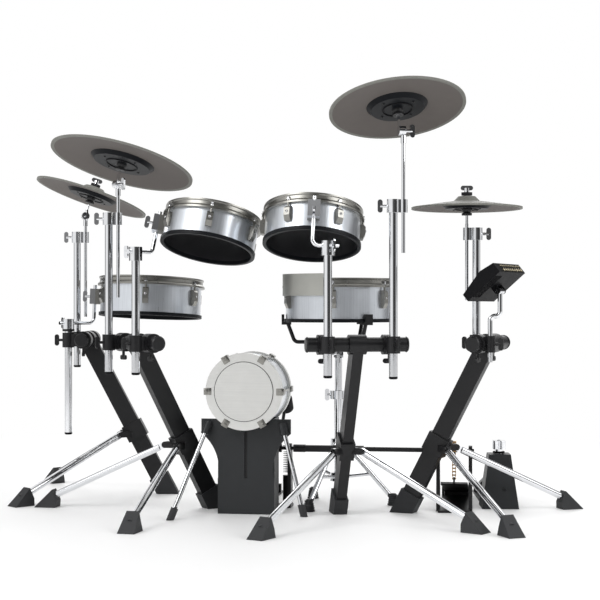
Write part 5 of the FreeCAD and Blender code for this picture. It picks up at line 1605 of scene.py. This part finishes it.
@dataclass(frozen=True)
class Kick:
    """Kick pad on its tower. Sizes are in millimetres.

    Args:
        yaw: turn of the kick and the pedals about the vertical, in degrees.
        height: height of the kick's axis.
        front: place of its front face along its axis.
        radius: the shell's radius.
        pad_from: place along its axis behind which its head is the striking pad.
        ring_width: width of the front ring.
        shadow_ring: outline of a thin black ring at the disc's edge, from the disc's radius; it is a painted shadow
            line where the raised disc meets the front ring.
        shadow_ring_sides: facets round that ring.
        hoop_wall: the hoops' wall.
        claw_rise: how far the claws stand out from the hoops.
        claw_skin: how far over the hoops the claws' finish starts.
        claw_count: how many claws the front has.
        first_claw: angle of the first claw, in degrees.
        hook_inset: distance of a hook's middle inside the claw's top.
        hook_plate: a hook's plate.
        hook_block: the block on the plate.
        hook_bolt: outline of the bolt on the block.
        hook_bolt_sides: facets round the bolt.
        spur_tip: height of the spurs' rubber tips.
        slot: heights of the two ends of the tower's slot.
        sheet_inside: place of the tower's front sheet along the kick's axis, on its inside.
        shade_sheet_width: width of the black sheet behind the slot, painted shade that makes the slot read as a dark
            groove.
        shade_sheet_depth: its thickness.
        shade_sheet_edge: radius of its edges.
        shade_sheet_lap: how much longer than the slot it is.
        shade_sheet_gap: distance of its middle from the tower's front sheet.
    """

    yaw: float = -8.0
    height: float = 339.0
    front: float = -71.0
    radius: float = 100.0
    pad_from: float = 20.0
    ring_width: float = 18.0
    # Painted shadow: a thin black ring at the front disc's edge stands in for the dark line that the raised disc's rim
    # casts.
    shadow_ring: Outline = ((-1.6, 0.6), (0.2, 0.6), (-0.1, 2.0), (-1.2, 2.1))
    shadow_ring_sides: int = 128
    hoop_wall: float = 6.0
    claw_rise: float = 5.0
    claw_skin: float = 0.1
    claw_count: int = 6
    first_claw: float = 30.0
    hook_inset: float = 10.6
    hook_plate: Slab = Slab((21.0, 19.0, 3.0), 1.0, (0.0, 0.0, 1.2))
    hook_block: Slab = Slab((11.0, 13.0, 3.2), 1.2, (4.6, 0.0, 3.2))
    hook_bolt: Outline = ((0.0, 4.0), (3.6, 4.0), (3.6, 6.0), (2.6, 6.8), (0.0, 6.8))
    hook_bolt_sides: int = 12
    spur_tip: float = 33.0
    slot: Pair = (98.0, 226.0)
    sheet_inside: float = -32.0
    # Painted shade: a black sheet behind the tower's slot, standing in for the shade inside the slot.
    shade_sheet_width: float = 22.0
    shade_sheet_depth: float = 2.8
    shade_sheet_edge: float = 0.8
    shade_sheet_lap: float = 8.0
    shade_sheet_gap: float = 1.2

    @property
    def frame(self) -> Matrix:
        """Frame of the kick and the pedals: X along the drive line, Y to the player."""
        return turned_by(self.yaw, "Z")

    @property
    def face(self) -> Matrix:
        """Frame of the front face, with Z to the audience and X up.

        Returns:
            The frame.
        """
        toward = tuple(self.frame.to_3x3() @ -Vector(BACK))
        centre = tuple(self.frame @ Vector((0.0, self.front, self.height)))
        return frame_at(centre, toward, UP)

    def dress(self, kit: Dresser) -> None:
        """Give the kick its materials and its small parts.

        Args:
            kit: the shared dresser.
        """
        away = tuple(self.frame.to_3x3() @ Vector(BACK))
        across = tuple(self.frame.to_3x3() @ Vector(RIGHT))
        middle = tuple(self.frame @ Vector((0.0, 0.0, self.height)))
        rear = Zone(Finishes.STRIKE_PAD, middle, away, height=(self.pad_from, None))
        kit.assign("kick_heads", kit.paint.zoned("kick_plate_brushed", Finishes.KICK_PLATE, (rear,), along=across))
        claws = Zone(Finishes.GUNMETAL, middle, away, (self.radius + self.hoop_wall + self.claw_skin, None))
        kit.assign("kick_hoops", kit.paint.zoned("kick_ring", Finishes.KICK_RING, (claws,)))
        kit.assign("kick_shell", kit.paint.zoned("kick_wrap", Finishes.WRAP, (), along=away))
        kit.plain(Finishes.CHARCOAL, "kick_tower")
        tips = Zone(Finishes.RUBBER, ORIGIN, UP, height=(None, self.spur_tip))
        kit.assign("kick_spurs", kit.paint.zoned("kick_spur_chrome", Finishes.CHROME, (tips,)))
        self._small_parts(kit)

    def _small_parts(self, kit: Dresser) -> None:
        """Add the claws' hooks, a thin black ring at the disc's edge as a painted shadow line, and a black sheet
        behind the tower's slot as painted shade.

        Args:
            kit: the shared dresser.
        """
        hook = self.hook_block.add_to(self.hook_plate.add_to(Form()))
        hook.turned(self.hook_bolt, self.hook_bolt_sides, at(self.hook_block.place[0], 0.0, 0.0))
        kit.ring("kick_claw_hooks", hook, Finishes.GUNMETAL, "kick_hoops", self.face, self.claw_count,
                 self.radius + self.hoop_wall + self.claw_rise - self.hook_inset, self.first_claw)
        # Painted shadow: a thin black ring round the raised disc's edge, in place of the shadow line there.
        shadow_ring = Form().turned(about(self.radius - self.ring_width, self.shadow_ring), self.shadow_ring_sides)
        kit.piece("kick_disc_shadow_ring", shadow_ring, Finishes.PLATE, "kick_heads", self.face)
        # Painted shade: a black sheet just behind the tower's slot, so the slot shows dark as if in shade.
        low, high = self.slot
        shade_sheet = Form().slab((self.shade_sheet_width, self.shade_sheet_depth, high - low + self.shade_sheet_lap), self.shade_sheet_edge)
        kit.piece("kick_tower_slot_shade", shade_sheet, Finishes.BLACK_COAT, "kick_tower",
                  self.frame @ at(0.0, self.sheet_inside + self.shade_sheet_gap, (low + high) / 2))


@dataclass(frozen=True)
class Footboard:
    """A pedal's footboard with its raised grips. Sizes are in millimetres.

    Args:
        node: the footboard's name.
        frame: the pedal's frame.
        heel: place along the board and height of its heel, on its upper face.
        toe: place and height of its toe, on its upper face.
        width: the board's width.
        grip_share: a grip's length as a share of the board's width.
        grip: a grip's width and height.
        grip_edge: radius of its edges.
        grip_rise: height of its middle over the board.
        grip_counts: grips across and along the board.
        grip_spread: distance between the outer grips, as shares of the board's width and length.
    """

    node: str
    frame: Matrix
    heel: Pair
    toe: Pair
    width: float
    grip_share: float = 0.24
    grip: Pair = (7.0, 2.4)
    grip_edge: float = 1.0
    grip_rise: float = 0.6
    grip_counts: Tuple[int, int] = (3, 11)
    grip_spread: Pair = (0.6, 0.78)

    def dress(self, kit: Dresser) -> None:
        """Give the board its material and its grips.

        Args:
            kit: the shared dresser.
        """
        kit.plain(Finishes.BLACK_COAT, self.node)
        run = Vector((0.0, self.toe[0] - self.heel[0], self.toe[1] - self.heel[1]))
        centre = ((self.heel[0] + self.toe[0]) / 2, (self.heel[1] + self.toe[1]) / 2)
        slope = math.degrees(math.atan2(run.z, run.y)) - 180.0
        place = self.frame @ at(0.0, *centre) @ turned_by(slope, "X")
        bar = Form().slab((self.width * self.grip_share, *self.grip), self.grip_edge, at(0.0, 0.0, self.grip_rise))
        kit.grid(f"{self.node}_grips", bar, Finishes.RUBBER, self.node, place, self.grip_counts,
                 (self.width * self.grip_spread[0], run.length * self.grip_spread[1]))


@dataclass(frozen=True)
class DoublePedal:
    """Double kick pedal. Sizes are in millimetres.

    Args:
        frame: the pedals' frame.
        main_middle: middle of the main pedal along the drive line.
        slave_middle: middle of the slave pedal along the drive line.
        heel: place along a board and height of its heel.
        toe: place and height of its toe.
        width: a board's width.
        beater_axis: direction of a beater's felt.
        beaters: the solid that holds each beater and the middle of its felt.
        felt_radius: the felts' radius.
        felt: places of a felt's two ends along its direction.
    """

    frame: Matrix
    main_middle: float = -12.0
    slave_middle: float = 566.0
    heel: Pair = (392.0, 28.0)
    toe: Pair = (96.0, 82.0)
    width: float = 74.0
    beater_axis: Triple = (0.0967, 0.6879, -0.7193)
    beaters: Tuple[Tuple[str, Triple], ...] = (("main_axle", (45.7, 239.0, 286.8)),
                                               ("drive_line", (101.2, 231.2, 286.8)))
    felt_radius: float = 22.6
    felt: Pair = (-20.6, 20.6)

    def dress(self, kit: Dresser) -> None:
        """Give the pedals their materials and grips.

        Args:
            kit: the shared dresser.
        """
        kit.plain(Finishes.BLACK_COAT, "main_pedal_base", "slave_pedal_base")
        kit.plain(Finishes.STEEL, "pedal_springs")
        kit.plain(Finishes.BRONZE, "main_chain", "slave_chain")
        for node, centre in self.beaters:
            head = Zone(Finishes.FELT, centre, self.beater_axis, (None, self.felt_radius), self.felt)
            kit.assign(node, kit.paint.zoned(f"{node}_steel", Finishes.BLACK_COAT, (head,)))
        for node, middle in (("main_footboard", self.main_middle), ("slave_footboard", self.slave_middle)):
            Footboard(node, self.frame @ at(middle, 0.0, 0.0), self.heel, self.toe, self.width).dress(kit)


@dataclass(frozen=True)
class HiHatPedal:
    """Hi-hat control pedal. Sizes are in millimetres.

    Args:
        centre: middle of its housing on the floor.
        yaw: its turn about the vertical, in degrees.
        heel: place along its board and height of the heel.
        toe: place and height of the toe.
        width: its board's width.
        stem_low: height of the knob's stem over the floor.
        washer: outline of the washer on the stem.
        washer_sides: facets round the washer.
        knob_top: height of the knob's top.
        screw: the screw on the knob.
    """

    centre: Triple = (712.0, 112.0, 0.0)
    yaw: float = -2.0
    heel: Pair = (286.0, 28.0)
    toe: Pair = (60.0, 77.0)
    width: float = 78.0
    stem_low: float = 152.3
    washer: Outline = ((11.9, 1.4), (16.4, 1.4), (17.0, 2.2), (17.0, 5.6), (16.2, 6.4), (11.9, 6.4))
    washer_sides: int = 40
    knob_top: float = 189.3
    screw: Screw = Screw(4.4, 2.6)

    def dress(self, kit: Dresser) -> None:
        """Give the pedal its materials, its grips and the washer under its knob.

        Args:
            kit: the shared dresser.
        """
        place = at(*self.centre) @ turned_by(self.yaw, "Z")
        node = "hihat_knob"
        kit.plain(Finishes.CHARCOAL, "hihat_housing")
        Footboard("hihat_footboard", place, self.heel, self.toe, self.width).dress(kit)
        kit.plain(Finishes.CHROME, node)
        washer = Form().turned(self.washer, self.washer_sides)
        kit.piece("hihat_knob_washer", washer, Finishes.PLASTIC, node, place @ at(0.0, 0.0, self.stem_low))
        kit.piece("hihat_knob_screw", self.screw.form(), Finishes.STEEL, node, place @ at(0.0, 0.0, self.knob_top))


@dataclass(frozen=True)
class SocketRow:
    """A row of sockets on the module's back. Sizes are in millimetres.

    Args:
        name: the row's name.
        outline: outline of a socket.
        sides: facets round it.
        place: the row's middle on the back.
        count: how many sockets the row has.
        length: distance between the outer ones.
    """

    name: str
    outline: Outline
    sides: int
    place: Triple
    count: int
    length: float


@dataclass(frozen=True)
class Module:
    """Drum module with its keys and sockets. Sizes are in millimetres.

    Args:
        hinge: middle of its hinge.
        across: direction of its width.
        normal: direction that its base faces away from.
        drop: distance of its base from the hinge.
        width: its width.
        depth: its depth.
        front: height of its front edge.
        crest: height of its crest.
        rear: height of its rear edge.
        crest_place: place of its crest from its middle to the front.
        screen: its screen.
        key: one of its keys.
        keys_place: middle of the keys on its face.
        key_counts: columns and rows of keys.
        key_spread: length and width between the outer keys.
        rows: its rows of sockets.
        rib_width: width of a rib on its base.
        rib_share: the rib's length as a share of its depth.
        rib_height: the rib's height.
        rib_edge: radius of the rib's edges.
        rib_sunk: distance of the rib's middle under the base.
        rib_count: how many ribs it has.
        rib_spread: distance between the outer ribs.
        rib_place: distance of the ribs to the left, as a share of its width.
    """

    hinge: Triple = (671.9, -194.5, 612.0)
    across: Triple = (0.5299, 0.8480, 0.0)
    normal: Triple = (-0.5451, 0.3406, 0.7660)
    drop: float = 14.0
    width: float = 166.0
    depth: float = 118.0
    front: float = 22.0
    crest: float = 38.0
    rear: float = 30.0
    crest_place: float = -16.5
    screen: Slab = Slab((58.0, 34.0, 2.4), 0.8, (-38.0, -8.0, 0.4))
    key: Slab = Slab((11.0, 6.0, 3.4), 1.2, (0.0, 0.0, 0.8))
    keys_place: Triple = (-38.0, 23.0, 0.0)
    key_counts: Tuple[int, int] = (5, 2)
    key_spread: Pair = (60.0, 11.0)
    rows: Tuple[SocketRow, ...] = (
        SocketRow("module_sockets", ((2.2, -0.6), (4.6, -0.6), (4.6, 1.6), (3.9, 2.2), (2.2, 2.2)), 20,
                  (12.0, -6.0, 0.0), 9, 112.0),
        SocketRow("module_small_sockets", ((1.2, -0.6), (2.9, -0.6), (2.9, 1.2), (2.3, 1.6), (1.2, 1.6)), 16,
                  (12.0, 7.0, 0.0), 12, 118.0),
    )
    rib_width: float = 2.4
    rib_share: float = 0.72
    rib_height: float = 2.0
    rib_edge: float = 0.7
    rib_sunk: float = 0.4
    rib_count: int = 7
    rib_spread: float = 36.0
    rib_place: float = 0.36

    def dress(self, kit: Dresser) -> None:
        """Give the module its materials, screen, keys, sockets and ribs.

        Args:
            kit: the shared dresser.
        """
        node = "module_case"
        kit.plain(Finishes.PLASTIC, node, "module_knob")
        base = frame_at(self.hinge, self.normal, self.across) @ at(0.0, 0.0, self.drop)
        half = self.depth / 2
        slope = math.degrees(math.atan2(self.front - self.crest, half - self.crest_place))
        face = base @ at(0.0, (half + self.crest_place) / 2, (self.front + self.crest) / 2) @ turned_by(slope, "X")
        kit.piece("module_screen", self.screen.add_to(Form()), Finishes.SCREEN, node, face)
        kit.grid("module_keys", self.key.add_to(Form()), Finishes.KEY, node, face @ at(*self.keys_place),
                 self.key_counts, self.key_spread)
        back = base @ at(0.0, -half, self.rear / 2) @ turned_by(90.0, "X")
        for row in self.rows:
            socket = Form().turned(row.outline, row.sides)
            kit.grid(row.name, socket, Finishes.SOCKET, node, back @ at(*row.place), (row.count, 1), (row.length, 0.0))
        rib = Form().slab((self.rib_width, self.depth * self.rib_share, self.rib_height), self.rib_edge,
                          at(0.0, 0.0, -self.rib_sunk))
        kit.grid("module_base_ribs", rib, Finishes.PLASTIC, node, base @ at(-self.width * self.rib_place, 0.0, 0.0),
                 (self.rib_count, 1), (self.rib_spread, 0.0))


CYMBALS = (
    Cymbal("crash_1", (396.4, -266.0, 1081.0), (-0.0831, 0.3007, 0.9501), 178.0, "crash_1_tilter"),
    Cymbal("ride", (-355.4, 31.0, 969.0), (0.2267, 0.2079, 0.9515), 203.0, "ride_tilter"),
    Cymbal("crash_2", (-511.1, 502.9, 913.0), (0.3071, 0.1115, 0.9451), 178.0, "crash_2_tilter"),
    Cymbal("hihat", (602.3, -43.5, 839.0), UP, 152.0, "hihat_rod"),
)
DRUMS = (
    Drum("tom_1", (-108.9, -71.7, 727.0), 10.0, 15.0, 127.0, 96.0, 210.0),
    Drum("tom_2", (175.05, -175.5, 732.0), 3.0, 17.0, 127.0, 96.0, -60.0),
    Drum("floor_tom", (-311.5, 369.4, 541.0), 2.0, 3.0, 152.0, 112.0, 210.0),
    Drum("snare", (255.0, 150.0, 528.0), 0.0, 0.0, 152.0, 120.0, 263.0, fitting=Finishes.COVER),
)
LEGS = (
    Leg("far_left", (-413.6, 450.2, 175.8), (-0.6712, 0.6129, -0.4169)),
    Leg("far_right", (-413.1, 354.2, 175.8), (-0.6648, -0.6199, -0.4169)),
    Leg("left_left", (-251.3, 53.7, 175.8), (-0.8940, 0.1641, -0.4169)),
    Leg("left_right", (-199.9, -27.5, 175.8), (-0.2353, -0.8780, -0.4169)),
    Leg("centre_left", (228.3, -168.3, 175.8), (-0.4911, -0.7649, -0.4169)),
    Leg("centre_right", (322.9, -151.6, 175.8), (0.7231, -0.5508, -0.4169)),
    Leg("right_left", (547.7, -104.4, 175.8), (0.3302, -0.8469, -0.4169)),
    Leg("right_right", (589.8, -18.0, 175.8), (0.8706, 0.2612, -0.4169)),
)
POLE_FEET = (
    (384.4, -281.6, 386.0),
    (-388.8, 11.7, 386.0),
    (-552.4, 487.5, 386.0),
    (628.3, -43.5, 438.0),
    (-296.9, -133.7, 390.0),
    (215.0, -311.5, 390.0),
    (-551.5, 315.5, 191.0),
)


def main() -> None:
    """Build the studio, then dress each sub-assembly in order."""
    logging.basicConfig(level=logging.INFO)
    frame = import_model()
    Studio().build()
    record = frame["record"]
    bodies = {node: body for body, nodes in record["behaviour"]["bodies"].items() for node in nodes}
    slots = {part["node"]: part["material_slot"] for part in record["subparts"]}
    kit = Dresser(frame["nodes"], bodies, slots, Paint(), Repeats())
    kick = Kick()
    assemblies = (*CYMBALS, *DRUMS, *LEGS, Stands(POLE_FEET), SnareStand(), kick, DoublePedal(kick.frame),
                  HiHatPedal(), Module())
    for assembly in assemblies:
        assembly.dress(kit)


if __name__ == "__main__":
    main()
